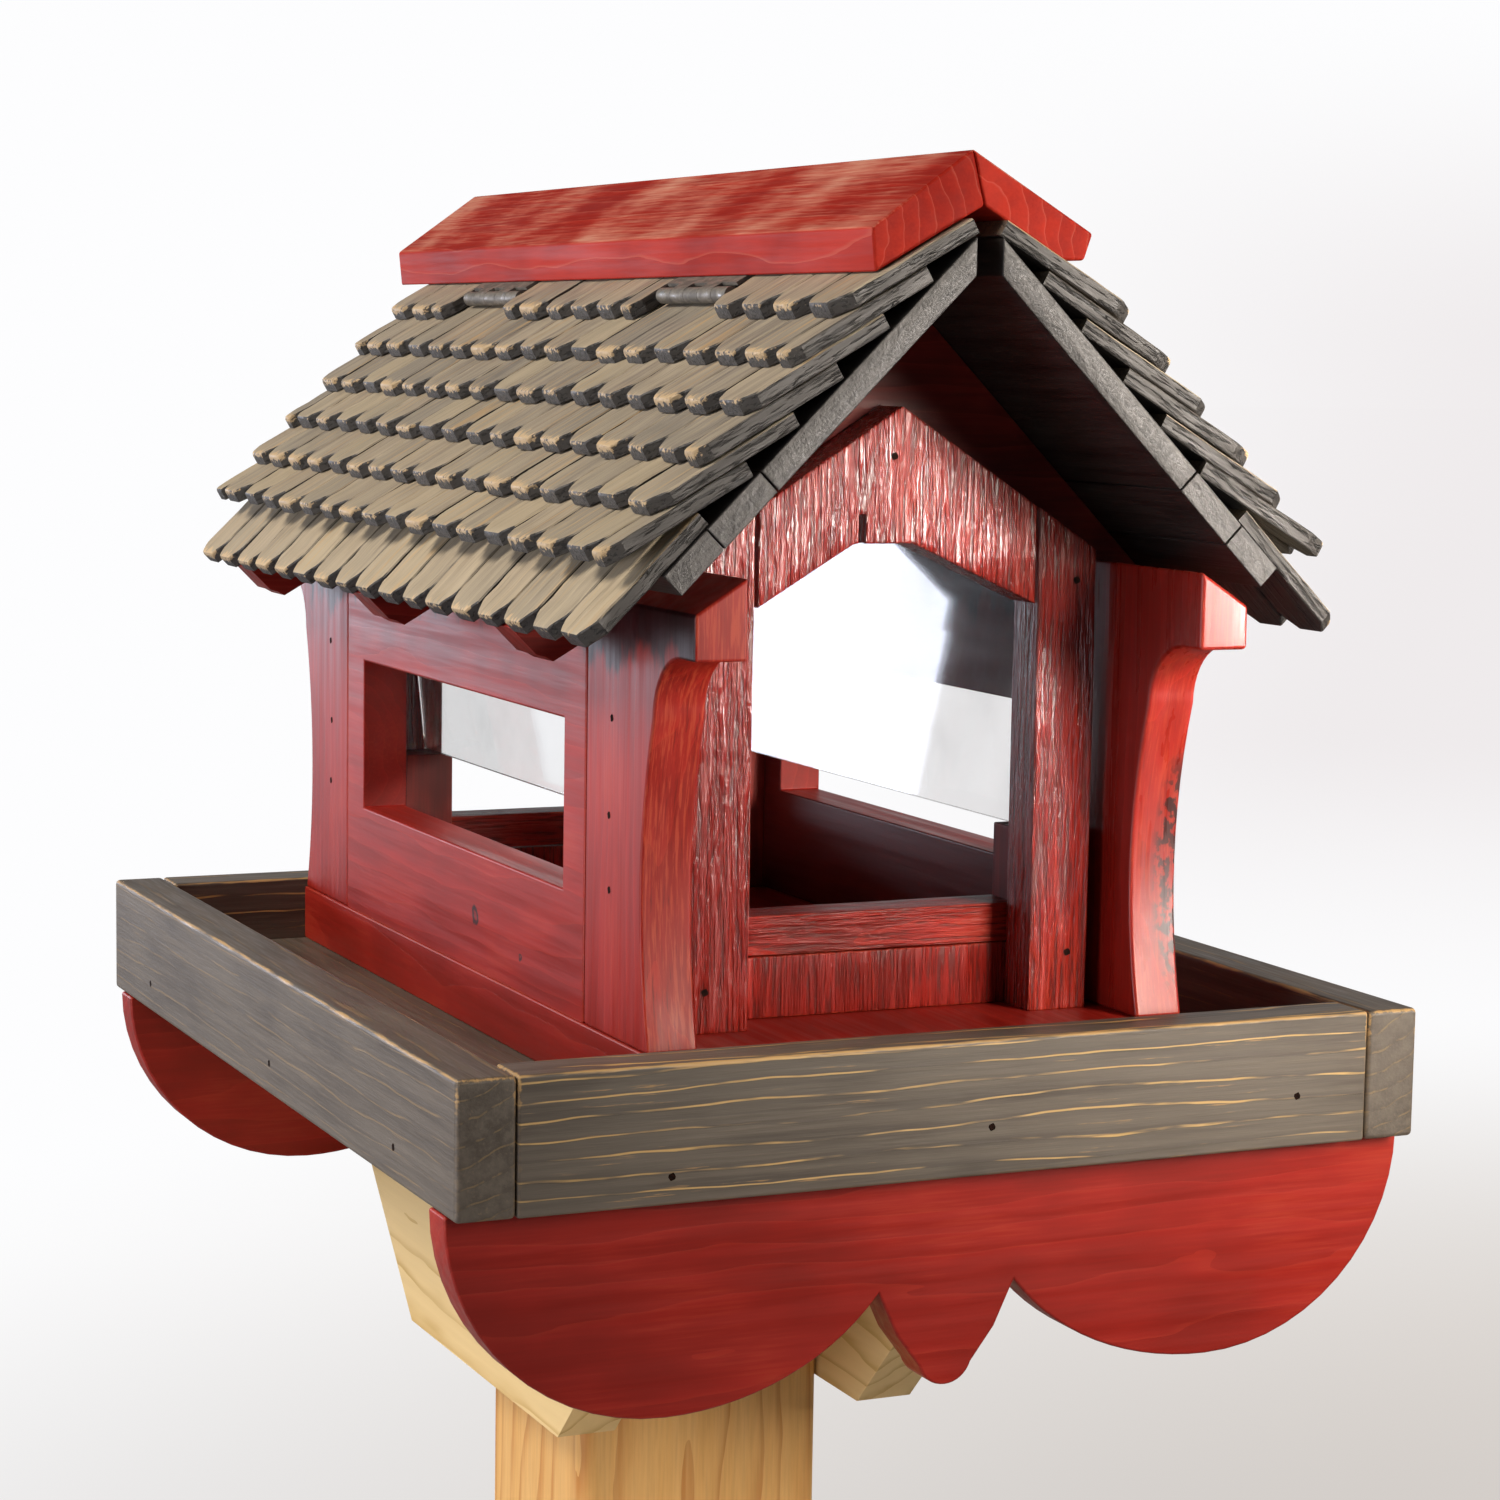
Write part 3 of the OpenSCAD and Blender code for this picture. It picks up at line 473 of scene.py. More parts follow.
def shingle_stain():
    """Split-looking slats stained grey-brown, drier and paler down the slope, with cracks in their sawn
    sides and raw tan wood where the lips of some tips have been rubbed. Painted shade darkens the sides,
    which face away from up, and the cracks in them, so that the tops look paler."""
    material, tree = new_material("weathered_shingle_stain")
    w = wood(tree, ring_mm=3.4, wander=1.4, pith_mm=(6.0, 20.0))
    colour = add(tree, "ShaderNodeMix", {
        0: add(tree, "ShaderNodeMapRange", {0: w["streak"], 1: 0.3, 2: 0.7}, **SMOOTH).outputs[0],
        6: "#80756a", 7: "#ac9e88"}, **COLOURS).outputs[2]
    other_luck = add(tree, "ShaderNodeMath", {0: w["luck"], 1: 7.0}, operation="MULTIPLY").outputs[0]
    other_luck = add(tree, "ShaderNodeMath", {0: other_luck}, operation="FRACT").outputs[0]
    colour = add(tree, "ShaderNodeMix", {
        0: add(tree, "ShaderNodeMapRange", {0: other_luck, 1: 0.3, 2: 1.0, 4: 0.65}, **SMOOTH).outputs[0],
        6: colour, 7: "#6c6a66"}, **COLOURS).outputs[2]
    colour = add(tree, "ShaderNodeMix", {
        0: add(tree, "ShaderNodeMapRange", {0: w["luck"], 1: 0.4, 2: 0.0, 4: 0.5}, **SMOOTH).outputs[0],
        6: colour, 7: "#b3a486"}, **COLOURS).outputs[2]
    colour = add(tree, "ShaderNodeMix", {
        0: add(tree, "ShaderNodeMapRange", {
            0: w["fibre"], 1: 0.42, 2: 0.70, 4: 0.6}, **SMOOTH).outputs[0],
        6: colour, 7: "#bcae94"}, **COLOURS).outputs[2]
    colour = add(tree, "ShaderNodeMix", {
        0: add(tree, "ShaderNodeMapRange", {
            0: w["fibre"], 1: 0.45, 2: 0.30, 4: 0.75}, **SMOOTH).outputs[0],
        6: colour, 7: "#544e47"}, **COLOURS).outputs[2]
    late_wood = add(tree, "ShaderNodeMapRange", {0: w["saw"], 1: 0.84, 2: 0.95}, **SMOOTH).outputs[0]
    lines = add(tree, "ShaderNodeMath", {
        0: late_wood,
        1: add(tree, "ShaderNodeMapRange", {0: w["patch"], 1: 0.42, 2: 0.60}, **SMOOTH).outputs[0],
    }, operation="MULTIPLY").outputs[0]
    colour = add(tree, "ShaderNodeMix", {
        0: add(tree, "ShaderNodeMath", {0: lines, 1: 0.65}, operation="MULTIPLY").outputs[0],
        6: colour, 7: "#c49c63"}, **COLOURS).outputs[2]
    _, parts, facing = surface_parts(tree)
    colour = add(tree, "ShaderNodeMix", {
        0: add(tree, "ShaderNodeMapRange", {
            0: parts["Z"], 1: 0.55, 2: 0.46, 4: 0.35}, **SMOOTH).outputs[0],
        6: colour, 7: "#c4b18e"}, **COLOURS).outputs[2]
    # Painted shade: the faces that do not look up are darkened to a near-black grey
    sides = add(tree, "ShaderNodeMapRange", {0: facing["Z"], 1: 0.62, 2: 0.35}, **SMOOTH).outputs[0]
    colour = add(tree, "ShaderNodeMix", {0: sides, 6: colour, 7: "#3f3c39"}, **COLOURS).outputs[2]
    cracks = stretched(tree, w["place"], (14, 1.6, 1.1), 4.0, 0.65, 0.3)
    split = add(tree, "ShaderNodeMapRange", {0: cracks, 1: 0.52, 2: 0.60}, **SMOOTH).outputs[0]
    split = add(tree, "ShaderNodeMath", {
        0: split,
        1: add(tree, "ShaderNodeMath", {0: sides, 1: 0.85}, operation="MULTIPLY").outputs[0],
    }, operation="MULTIPLY").outputs[0]
    # Painted shade: the cracks in the sides are darkened to near black
    colour = add(tree, "ShaderNodeMix", {0: split, 6: colour, 7: "#161413"}, **COLOURS).outputs[2]
    tip = add(tree, "ShaderNodeAttribute", attribute_name="tip").outputs["Fac"]
    ragged = stretched(tree, w["place"], (6, 2, 2), 3.0, 0.6)
    rub = total(tree, (tip, 0.50), (ragged, 0.9), (w["luck"], 0.30))
    colour = add(tree, "ShaderNodeMix", {
        0: add(tree, "ShaderNodeMapRange", {0: rub, 1: 1.02, 2: 1.12, 4: 0.85}, **SMOOTH).outputs[0],
        6: colour, 7: "#d0b48a"}, **COLOURS).outputs[2]
    rough = add(tree, "ShaderNodeMapRange", {
        0: w["fibre"], 1: 0.3, 2: 0.7, 3: 0.42, 4: 0.62}, **SMOOTH).outputs[0]
    height = total(tree, (w["rings"], 0.3), (w["fibre"], 0.7), (split, -1.2))
    finish(tree, colour, rough, height, 0.34)
    return material


def charcoal_stain():
    """Thin sawn roof boards with a full coat of charcoal stain: nearly black in the shade, with a
    soft sheen on the saw marks and torn grain on their cut ends."""
    material, tree = new_material("charcoal_stain")
    w = wood(tree, ring_mm=4.0, wander=1.6, pith_mm=(10.0, 20.0))
    colour = add(tree, "ShaderNodeMix", {
        0: add(tree, "ShaderNodeMapRange", {0: w["streak"], 1: 0.3, 2: 0.7}, **SMOOTH).outputs[0],
        6: "#1c1a19", 7: "#312e2c"}, **COLOURS).outputs[2]
    colour = add(tree, "ShaderNodeMix", {
        0: add(tree, "ShaderNodeMapRange", {
            0: w["fibre"], 1: 0.40, 2: 0.80, 4: 0.4}, **SMOOTH).outputs[0],
        6: colour, 7: "#4f4a45"}, **COLOURS).outputs[2]
    _, _, facing = surface_parts(tree)
    ends = add(tree, "ShaderNodeMapRange", {
        0: add(tree, "ShaderNodeMath", {0: facing["Y"]}, operation="ABSOLUTE").outputs[0],
        1: 0.8, 2: 0.95}, **SMOOTH).outputs[0]
    colour = add(tree, "ShaderNodeMix", {
        0: add(tree, "ShaderNodeMath", {0: ends, 1: 0.6}, operation="MULTIPLY").outputs[0],
        6: colour, 7: "#4c4947"}, **COLOURS).outputs[2]
    torn = stretched(tree, w["place"], (2.5, 9, 1.1), 4.0, 0.7)
    torn = add(tree, "ShaderNodeMath", {
        0: add(tree, "ShaderNodeMapRange", {0: torn, 1: 0.46, 2: 0.58}, **SMOOTH).outputs[0],
        1: ends}, operation="MULTIPLY").outputs[0]
    colour = add(tree, "ShaderNodeMix", {
        0: add(tree, "ShaderNodeMath", {0: torn, 1: 0.85}, operation="MULTIPLY").outputs[0],
        6: colour, 7: "#1b1918"}, **COLOURS).outputs[2]
    rough = add(tree, "ShaderNodeMapRange", {
        0: w["fibre"], 1: 0.3, 2: 0.7, 3: 0.36, 4: 0.55}, **SMOOTH).outputs[0]
    height = total(tree, (w["rings"], 0.4), (w["fibre"], 0.6))
    finish(tree, colour, rough, height, 0.30)
    return material


def planed_pine():
    """Planed pine with no finish: pale yellow wood with narrow orange-brown rings."""
    material, tree = new_material("planed_pine")
    w = wood(tree, ring_mm=11.0, wander=1.6)
    colour = add(tree, "ShaderNodeMix", {
        0: add(tree, "ShaderNodeMapRange", {0: w["rings"], 1: 0.15, 2: 0.95}, **SMOOTH).outputs[0],
        6: "#f2bd70", 7: "#d18a3e"}, **COLOURS).outputs[2]
    colour = add(tree, "ShaderNodeMix", {
        0: add(tree, "ShaderNodeMapRange", {0: w["streak"], 1: 0.3, 2: 0.7, 4: 0.5}, **SMOOTH).outputs[0],
        6: colour, 7: "#f6c984"}, **COLOURS).outputs[2]
    colour = add(tree, "ShaderNodeMix", {
        0: add(tree, "ShaderNodeMapRange", {0: w["fibre"], 1: 0.3, 2: 0.8, 4: 0.30}, **SMOOTH).outputs[0],
        6: colour, 7: "#bf8645"}, **COLOURS).outputs[2]
    finish(tree, colour, 0.5, total(tree, (w["rings"], 0.3), (w["fibre"], 0.7)), 0.08)
    return material


def treated_pine():
    """Planed softwood with a faint green-yellow cast from its preservative."""
    material, tree = new_material("treated_pine")
    w = wood(tree, ring_mm=9.0, wander=1.5)
    colour = add(tree, "ShaderNodeMix", {
        0: add(tree, "ShaderNodeMapRange", {0: w["rings"], 1: 0.2, 2: 0.95}, **SMOOTH).outputs[0],
        6: "#f9d99a", 7: "#d9b268"}, **COLOURS).outputs[2]
    colour = add(tree, "ShaderNodeMix", {
        0: add(tree, "ShaderNodeMapRange", {0: w["streak"], 1: 0.3, 2: 0.7, 4: 0.5}, **SMOOTH).outputs[0],
        6: colour, 7: "#f0cf90"}, **COLOURS).outputs[2]
    finish(tree, colour, 0.55, total(tree, (w["rings"], 0.3), (w["fibre"], 0.7)), 0.1)
    return material


def clear_acrylic():
    """Cast acrylic sheet: clear, polished, with a light film of dust."""
    material, tree = new_material("clear_acrylic")
    place = add(tree, "ShaderNodeTexCoord").outputs["Object"]
    dust = stretched(tree, place, (40, 40, 40), 4.0, 0.6)
    film = add(tree, "ShaderNodeBsdfDiffuse", {"Color": "#c9ccd0"})
    glass = add(tree, "ShaderNodeBsdfPrincipled", {"Base Color": "#ffffff", "Roughness": 0.03,
                                                   "IOR": 1.49, "Transmission Weight": 1.0})
    share = add(tree, "ShaderNodeMapRange", {
        0: dust, 1: 0.40, 2: 0.8, 3: 0.01, 4: 0.07}, **SMOOTH).outputs[0]
    blend = add(tree, "ShaderNodeMixShader", {0: share, 1: glass.outputs[0], 2: film.outputs[0]})
    add(tree, "ShaderNodeOutputMaterial", {"Surface": blend.outputs[0]})
    return material


def hinge_steel():
    """Plain steel hinges brushed over with the roof's grey stain, rubbed bare in spots."""
    material, tree = new_material("stained_steel")
    place = add(tree, "ShaderNodeTexCoord").outputs["Object"]
    worn = stretched(tree, place, (3, 6, 3), 4.0)
    colour = add(tree, "ShaderNodeMix", {
        0: add(tree, "ShaderNodeMapRange", {0: worn, 1: 0.35, 2: 0.60}, **SMOOTH).outputs[0],
        6: "#56524c", 7: "#716b62"}, **COLOURS).outputs[2]
    bare = add(tree, "ShaderNodeMapRange", {0: worn, 1: 0.62, 2: 0.68}, **SMOOTH).outputs[0]
    colour = add(tree, "ShaderNodeMix", {0: bare, 6: colour, 7: "#9a9a98"}, **COLOURS).outputs[2]
    rough = add(tree, "ShaderNodeMapRange", {
        0: worn, 1: 0.4, 2: 0.7, 3: 0.62, 4: 0.40}, **SMOOTH).outputs[0]
    finish(tree, colour, rough, worn, 0.1, **{"Metallic": bare})
    return material


def zinc_steel():
    """Zinc-plated steel screws, bright with a light dull film."""
    material, tree = new_material("zinc_plated_steel")
    place = add(tree, "ShaderNodeTexCoord").outputs["Object"]
    film = stretched(tree, place, (4, 4, 4), 4.0)
    colour = add(tree, "ShaderNodeMix", {
        0: add(tree, "ShaderNodeMapRange", {0: film, 1: 0.4, 2: 0.65}, **SMOOTH).outputs[0],
        6: "#9fa3a8", 7: "#c6c8ca"}, **COLOURS).outputs[2]
    rough = add(tree, "ShaderNodeMapRange", {
        0: film, 1: 0.4, 2: 0.7, 3: 0.28, 4: 0.45}, **SMOOTH).outputs[0]
    finish(tree, colour, rough, film, 0.05, **{"Metallic": 1.0})
    return material


def nail_hole():
    """The shadow in a hole over a set nail: nearly black, dull, with a rusty tint."""
    material, tree = new_material("nail_hole_shadow")
    place = add(tree, "ShaderNodeTexCoord").outputs["Object"]
    grit = stretched(tree, place, (1, 1, 1), 3.0)
    colour = add(tree, "ShaderNodeMix", {
        0: add(tree, "ShaderNodeMapRange", {0: grit, 1: 0.4, 2: 0.7}, **SMOOTH).outputs[0],
        6: "#120b09", 7: "#2a1610"}, **COLOURS).outputs[2]
    finish(tree, colour, 0.95, grit, 0.1, **{"Specular IOR Level": 0.1})
    return material


RED = barn_red("barn_red_paint")
RED_CAP = barn_red("barn_red_weathered", main="#b03123", worn="#cb9a82", rub=1.0, gloss=0.50,
                   shine=0.04, weathered=True)
# A darker copy of the barn red, for the corner strips and the trusses
RED_DARKER = barn_red("barn_red_darker", deep="#5c1712", main="#98281f", worn="#a04a38")
RED_ROUGH = barn_red("barn_red_on_sawn_wood", main="#a4241a", gloss=0.24, grain_depth=0.55,
                     shine=0.8, sawn=1.0)
RED_SILL = barn_red("barn_red_on_coarse_wood", deep="#6a150f", gloss=0.34, grain_depth=0.4,
                    shine=0.24, sawn=0.8)
# The walls: stain runs, knots, and painted shade on their inner faces
RED_WALL = barn_red("barn_red_with_stain_runs_and_inner_shade", drips=(0.440, 0.468), inside=True,
                    knots=(((-0.0825, -0.025, 0.3466), 4.5), ((-0.0825, -0.0715, 0.339), 2.0)))
RED_CORNER = barn_red("barn_red_stained_at_the_top", drips=(0.431, 0.461), fibres=0.6)
RED_SCRAPED = barn_red("barn_red_scraped", gloss=0.30, shine=0.5, fibres=0.4,
                       scraped=(0.1150, -0.180, 0.375))
STAIN = grey_stain("grey_stain_on_pine")
STAIN_EVEN = grey_stain("grey_stain_on_even_pine", bare_lines=0.22)
SHINGLE = shingle_stain()
CHARCOAL = charcoal_stain()
PINE = planed_pine()
TREATED = treated_pine()
ACRYLIC = clear_acrylic()
HINGE = hinge_steel()
ZINC = zinc_steel()
HOLE = nail_hole()


# Boards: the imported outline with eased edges

def welded(node):
    """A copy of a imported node's mesh with its triangles merged into whole faces."""
    shape = bmesh.new()
    shape.from_mesh(frame["nodes"][node].data)
    bmesh.ops.remove_doubles(shape, verts=shape.verts, dist=2e-6)
    bmesh.ops.dissolve_limit(shape, angle_limit=math.radians(0.6), verts=shape.verts, edges=shape.edges)
    return shape


# How finely a sawn board's faces are cut along, across and through it, and the size of the
# ridges and furrows in them
SAW_GRID = (7 * MM, 1.15 * MM, 6 * MM)
RIDGE = (30 * MM, 1.7 * MM, 2.4 * MM)


def saw_marks(mesh, axes, luck, depth_mm):
    """Cuts a rough-sawn board's faces into a fine grid and sinks ridges into it that run along
    the grain. Nothing rises above the board's own faces."""
    along, across, through = axes
    shape = bmesh.new()
    shape.from_mesh(mesh)
    for axis, step in ((across, SAW_GRID[1]), (along, SAW_GRID[0]), (through, SAW_GRID[2])):
        rows = [v.co.dot(axis) for v in shape.verts]
        low, high = min(rows), max(rows)
        count = int((high - low) / step)
        for i in range(1, count):
            parts = shape.verts[:] + shape.edges[:] + shape.faces[:]
            bmesh.ops.bisect_plane(shape, geom=parts, dist=1e-7, plane_no=axis,
                                   plane_co=axis * (low + (high - low) * i / count))
    shape.normal_update()
    moves = []
    for v in shape.verts:
        spot = Vector([v.co.dot(axis) / size for axis, size in zip(axes, RIDGE)])
        ridge = noise.noise(spot + Vector((luck * 90, 0, 0))) * 0.5 + 0.5
        broad = noise.noise(spot * 0.31 + Vector((luck * 50, 7, 0))) * 0.5 + 0.5
        sink = (0.7 * ridge + 0.3 * broad) * depth_mm * MM
        moves.append(v.normal * -sink if abs(v.normal.dot(along)) < 0.5 else Vector())
    for v, move in zip(shape.verts, moves):
        v.co += move
    shape.to_mesh(mesh)
    shape.free()
    mesh.shade_smooth()


def board(node, axes, material, ease=1.0, body="root", trim=(0, 0, 0), sawn=0.0):
    """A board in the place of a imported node, with its edges eased by some millimetres. trim
    takes some millimetres off both ends in X, Y and Z, so that joints show as thin dark gaps.
    sawn is the depth of the saw marks in millimetres, or 0 for a planed board."""
    shape = welded(node)
    low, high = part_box(node)
    for v in shape.verts:
        for i in range(3):
            middle = (low[i] + high[i]) / 2
            half = (high[i] - low[i]) / 2
            v.co[i] = middle + (v.co[i] - middle) * (1 - trim[i] * MM / half)
    mesh = bpy.data.meshes.new(node + "_wood")
    shape.to_mesh(mesh)
    shape.free()
    mesh.shade_smooth()
    blank = in_scene(node + "_blank", mesh)
    bevel = blank.modifiers.new("ease", "BEVEL")
    bevel.width = ease * MM
    bevel.segments = 3
    bevel.limit_method = "ANGLE"
    bevel.angle_limit = math.radians(28)
    if not sawn:
        even = blank.modifiers.new("even", "WEIGHTED_NORMAL")
        even.weight = 50
        even.keep_sharp = True
    eased = baked(blank)
    bpy.data.objects.remove(blank)
    if sawn:
        saw_marks(eased, AXES[axes], luck_of(node), sawn)
    board_coordinates(eased, AXES[axes], luck_of(node))
    return new_object(node + "_eased", eased, material, body, node)


WHOLE = (0, 0, 0)

BOARDS = [
    # nodes, grain axes, material, edge ease, trim in X, Y, Z and depth of saw marks in millimetres
    ("tray_floor", "y_flat", STAIN_EVEN, 0.8, WHOLE, 0),
    ("rail_left rail_right", "y", STAIN_EVEN, 1.8, (0.06, 0, 0), 0),
    ("rail_front rail_back", "x", STAIN, 1.2, (0.2, 0, 0), 0),
    ("apron_front apron_rear", "x", RED, 1.0, WHOLE, 0),
    ("base_board", "y_flat", RED, 0.8, WHOLE, 0),
    ("corner_front_left", "z", RED_CORNER, 1.1, WHOLE, 0),
    ("corner_front_right", "z", RED_SCRAPED, 1.4, WHOLE, 0),
    ("corner_back_left corner_back_right", "z", RED_CORNER, 1.1, WHOLE, 0),
    ("wall_left wall_right", "y", RED_WALL, 0.8, (0, 0.8, 0), 0),
    ("front_stile_left front_stile_right", "z", RED_ROUGH, 0.9, (0.1, 0, 0), 0.7),
    ("front_head", "z", RED_ROUGH, 0.9, (0.5, 0, 0), 0.7),
    ("back_stile_left back_stile_right", "z", RED_ROUGH, 0.9, (0.1, 0, 0), 0.6),
    ("back_head", "z", RED_ROUGH, 0.9, (0.5, 0, 0), 0.6),
    ("front_sill_lower", "z", RED_SILL, 0.8, (0, 0, 0.2), 0.4),
    ("front_sill_upper", "x", RED_SILL, 0.8, WHOLE, 0.6),
    ("back_sill_lower", "z", RED_SILL, 0.8, (0, 0, 0.2), 0.4),
    ("back_sill_upper", "x", RED_SILL, 0.8, WHOLE, 0.6),
    ("corner_strips", "z", RED_DARKER, 0.6, WHOLE, 0),
    ("truss_front truss_middle truss_back", "x", RED_DARKER, 0.8, WHOLE, 0),
    ("deck_left_upper", "left_slope", CHARCOAL, 0.5, WHOLE, 0.3),
    ("deck_left_middle deck_left_lower", "left_slope", CHARCOAL, 0.5, WHOLE, 0),
    ("deck_right_upper", "right_slope", CHARCOAL, 0.5, WHOLE, 0.3),
    ("deck_right_middle deck_right_lower", "right_slope", CHARCOAL, 0.5, WHOLE, 0),
    ("bearer_left bearer_right", "y", TREATED, 1.5, WHOLE, 0),
    ("post", "z", PINE, 0.6, WHOLE, 0),
    ("pane_left pane_right", "y", ACRYLIC, 0.3, WHOLE, 0),
]

for nodes, axes, material, ease, trim, sawn in BOARDS:
    for node in nodes.split():
        board(node, axes, material, ease, "root", trim, sawn)

board("cap_board_left", "y", RED_CAP, 1.0, "ridge_cap", (0.05, 0, 0))
board("cap_board_right", "y", RED_CAP, 1.0, "ridge_cap", (0.05, 0, 0))

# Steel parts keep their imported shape
for node, material in (("hinge_leaves_roof", HINGE), ("hinge_leaves_cap", HINGE),
                       ("hinge_pins", HINGE), ("bearer_screws", ZINC)):
    shown = frame["nodes"][node]
    shown.data.materials.clear()
    shown.data.materials.append(material)


# Shingles: slats laid by Geometry Nodes on points that Python sets out course by course

# Where a slat gets its cross-sections, as shares of its length, close together at the tip
STATIONS = [0.0, 0.22, 0.42, 0.55, 0.66, 0.76, 0.82, 0.87, 0.905, 0.94, 0.97, 0.992, 1.0]
# How round its edges are, how far its sides wave, its top wears and its tip drops, and how much
# its clipped corners close in for each metre along
SLAT_ROUND = 0.5 * MM
EDGE_WAVE = 0.6 * MM
TOP_WEAR = 0.5 * MM
TIP_DROP = 1.0 * MM
CLIP_SLOPE = 0.85
SLAT_KINDS = 6
# The room that a hinge needs past each end of its pin
HINGE_ROOM = 2.6 * MM


def slat_variant(number, length, width, thickness, clip):
    """One split slat, lofted along its length: clipped lower corners, worn tip, uneven edges."""
    chance = random.Random(100 + number)
    shape = bmesh.new()
    rings = []
    left_cut = clip * chance.uniform(0.8, 1.15)
    right_cut = clip * chance.uniform(0.8, 1.15)
    for f in STATIONS:
        x = f * length
        into_left = max(0.0, x - (length - left_cut)) * CLIP_SLOPE
        into_right = max(0.0, x - (length - right_cut)) * CLIP_SLOPE
        drop = TIP_DROP if f == 1.0 else (0.25 * TIP_DROP if f > 0.98 else 0.0)
        wave_left = (noise.noise(Vector((f * 9, number * 7.1, 0))) + 0.7) * EDGE_WAVE
        wave_right = (noise.noise(Vector((f * 9, number * 7.1, 5))) + 0.7) * EDGE_WAVE
        y0 = into_left + max(0.0, wave_left)
        y1 = width - into_right - max(0.0, wave_right)
        worn = max(0.0, noise.noise(Vector((f * 6, number * 3.3, 9)))) * TOP_WEAR
        z1 = thickness - drop - worn
        ring = []
        # Each corner, the way into the slat from it, and which of its two points comes first
        for y, z, into_y, into_z, up_first in ((y0, 0.0, 1, 1, True), (y1, 0.0, -1, 1, False),
                                               (y1, z1, -1, -1, True), (y0, z1, 1, -1, False)):
            up = (x, y, z + into_z * SLAT_ROUND)
            inward = (x, y + into_y * SLAT_ROUND, z)
            for point in (up, inward) if up_first else (inward, up):
                ring.append(shape.verts.new(point))
        rings.append(ring)
    for a, b in zip(rings, rings[1:]):
        for i in range(len(a)):
            j = (i + 1) % len(a)
            shape.faces.new((a[i], a[j], b[j], b[i]))
    shape.faces.new(rings[0])
    shape.faces.new(list(reversed(rings[-1])))
    bmesh.ops.recalc_face_normals(shape, faces=shape.faces)
    mesh = bpy.data.meshes.new(f"slat_variant_{number}")
    shape.to_mesh(mesh)
    shape.free()
    store(mesh, "board", "FLOAT_VECTOR", [(v.co.x, v.co.y - width / 2, v.co.z - thickness / 2)
                                          for v in mesh.vertices])
    store(mesh, "half", "FLOAT_VECTOR", [(length, width / 2, thickness / 2)] * len(mesh.vertices))
    store(mesh, "tip", "FLOAT", [max(0.0, (v.co.x / length - 0.85) / 0.15)
                                 * (1.0 if v.co.z > thickness * 0.45 else 0.0) for v in mesh.vertices])
    mesh.shade_smooth()
    mesh.set_sharp_from_angle(angle=math.radians(30))
    return bpy.data.objects.new(f"slat_variant_{number}", mesh)


def slat_tree(variants):
    """Geometry Nodes: a slat of any variant on each point, scaled to the point's own size,
    with a little random slide, turn and thickness."""
    tree = bpy.data.node_groups.new("lay_slats", "GeometryNodeTree")
    face = tree.interface
    face.new_socket("Points", in_out="INPUT", socket_type="NodeSocketGeometry")
    sockets = {}
    for name, kind in (("Slide", "NodeSocketFloat"), ("Turn", "NodeSocketFloat"),
                       ("Seed", "NodeSocketInt"), ("Finish", "NodeSocketMaterial")):
        sockets[name] = face.new_socket(name, in_out="INPUT", socket_type=kind).identifier
    face.new_socket("Slats", in_out="OUTPUT", socket_type="NodeSocketGeometry")
    given = add(tree, "NodeGroupInput").outputs
    info = add(tree, "GeometryNodeCollectionInfo", {"Collection": variants, "Separate Children": True,
                                                    "Reset Children": True})
    pick = add(tree, "FunctionNodeRandomValue",
               {4: 0, 5: len(variants.objects) - 1, "Seed": given["Seed"]}, data_type="INT")
    size = add(tree, "GeometryNodeInputNamedAttribute", {"Name": "size"}, data_type="FLOAT_VECTOR")
    turn_low = add(tree, "ShaderNodeVectorMath", {0: (-0.4, -0.5, -1.0), 3: given["Turn"]},
                   operation="SCALE")
    turn_high = add(tree, "ShaderNodeVectorMath", {0: (0.4, 0.5, 1.0), 3: given["Turn"]},
                    operation="SCALE")
    turn = add(tree, "FunctionNodeRandomValue", {0: turn_low.outputs[0], 1: turn_high.outputs[0],
                                                 "Seed": given["Seed"]}, data_type="FLOAT_VECTOR")
    laid = add(tree, "GeometryNodeInstanceOnPoints",
               {"Points": given["Points"], "Instance": info.outputs[0], "Pick Instance": True,
                "Instance Index": pick.outputs[2], "Rotation": turn.outputs[0], "Scale": size.outputs[0]})
    low = add(tree, "ShaderNodeMath", {0: given["Slide"], 1: -1.0}, operation="MULTIPLY")
    slide = add(tree, "FunctionNodeRandomValue",
                {2: low.outputs[0], 3: given["Slide"], "Seed": given["Seed"]}, data_type="FLOAT")
    move = add(tree, "ShaderNodeCombineXYZ", {0: slide.outputs[1]})
    slid = add(tree, "GeometryNodeTranslateInstances", {"Instances": laid.outputs[0],
                                                        "Translation": move.outputs[0]})
    luck = add(tree, "FunctionNodeRandomValue", {2: 0.0, 3: 1.0, "Seed": given["Seed"]},
               data_type="FLOAT")
    marked = add(tree, "GeometryNodeStoreNamedAttribute",
                 {"Geometry": slid.outputs[0], "Name": "luck", "Value": luck.outputs[1]},
                 data_type="FLOAT", domain="INSTANCE")
    real = add(tree, "GeometryNodeRealizeInstances", {0: marked.outputs[0]})
    dressed = add(tree, "GeometryNodeSetMaterial",
                  {"Geometry": real.outputs[0], "Material": given["Finish"]})
    add(tree, "NodeGroupOutput", {0: dressed.outputs[0]})
    return tree, sockets


roof_low, roof_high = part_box("deck_right_upper")
ROOF_Y0, ROOF_Y1 = roof_low.y, roof_high.y
STEP = (ROOF_Y1 - ROOF_Y0) / SLATS

VARIANTS = bpy.data.collections.new("slat_variants")
for number in range(SLAT_KINDS):
    VARIANTS.objects.link(slat_variant(number, SLAT_L, STEP - SLAT_GAP, SLAT_T, SLAT_CLIP))
LAY, LAY_INPUTS = slat_tree(VARIANTS)


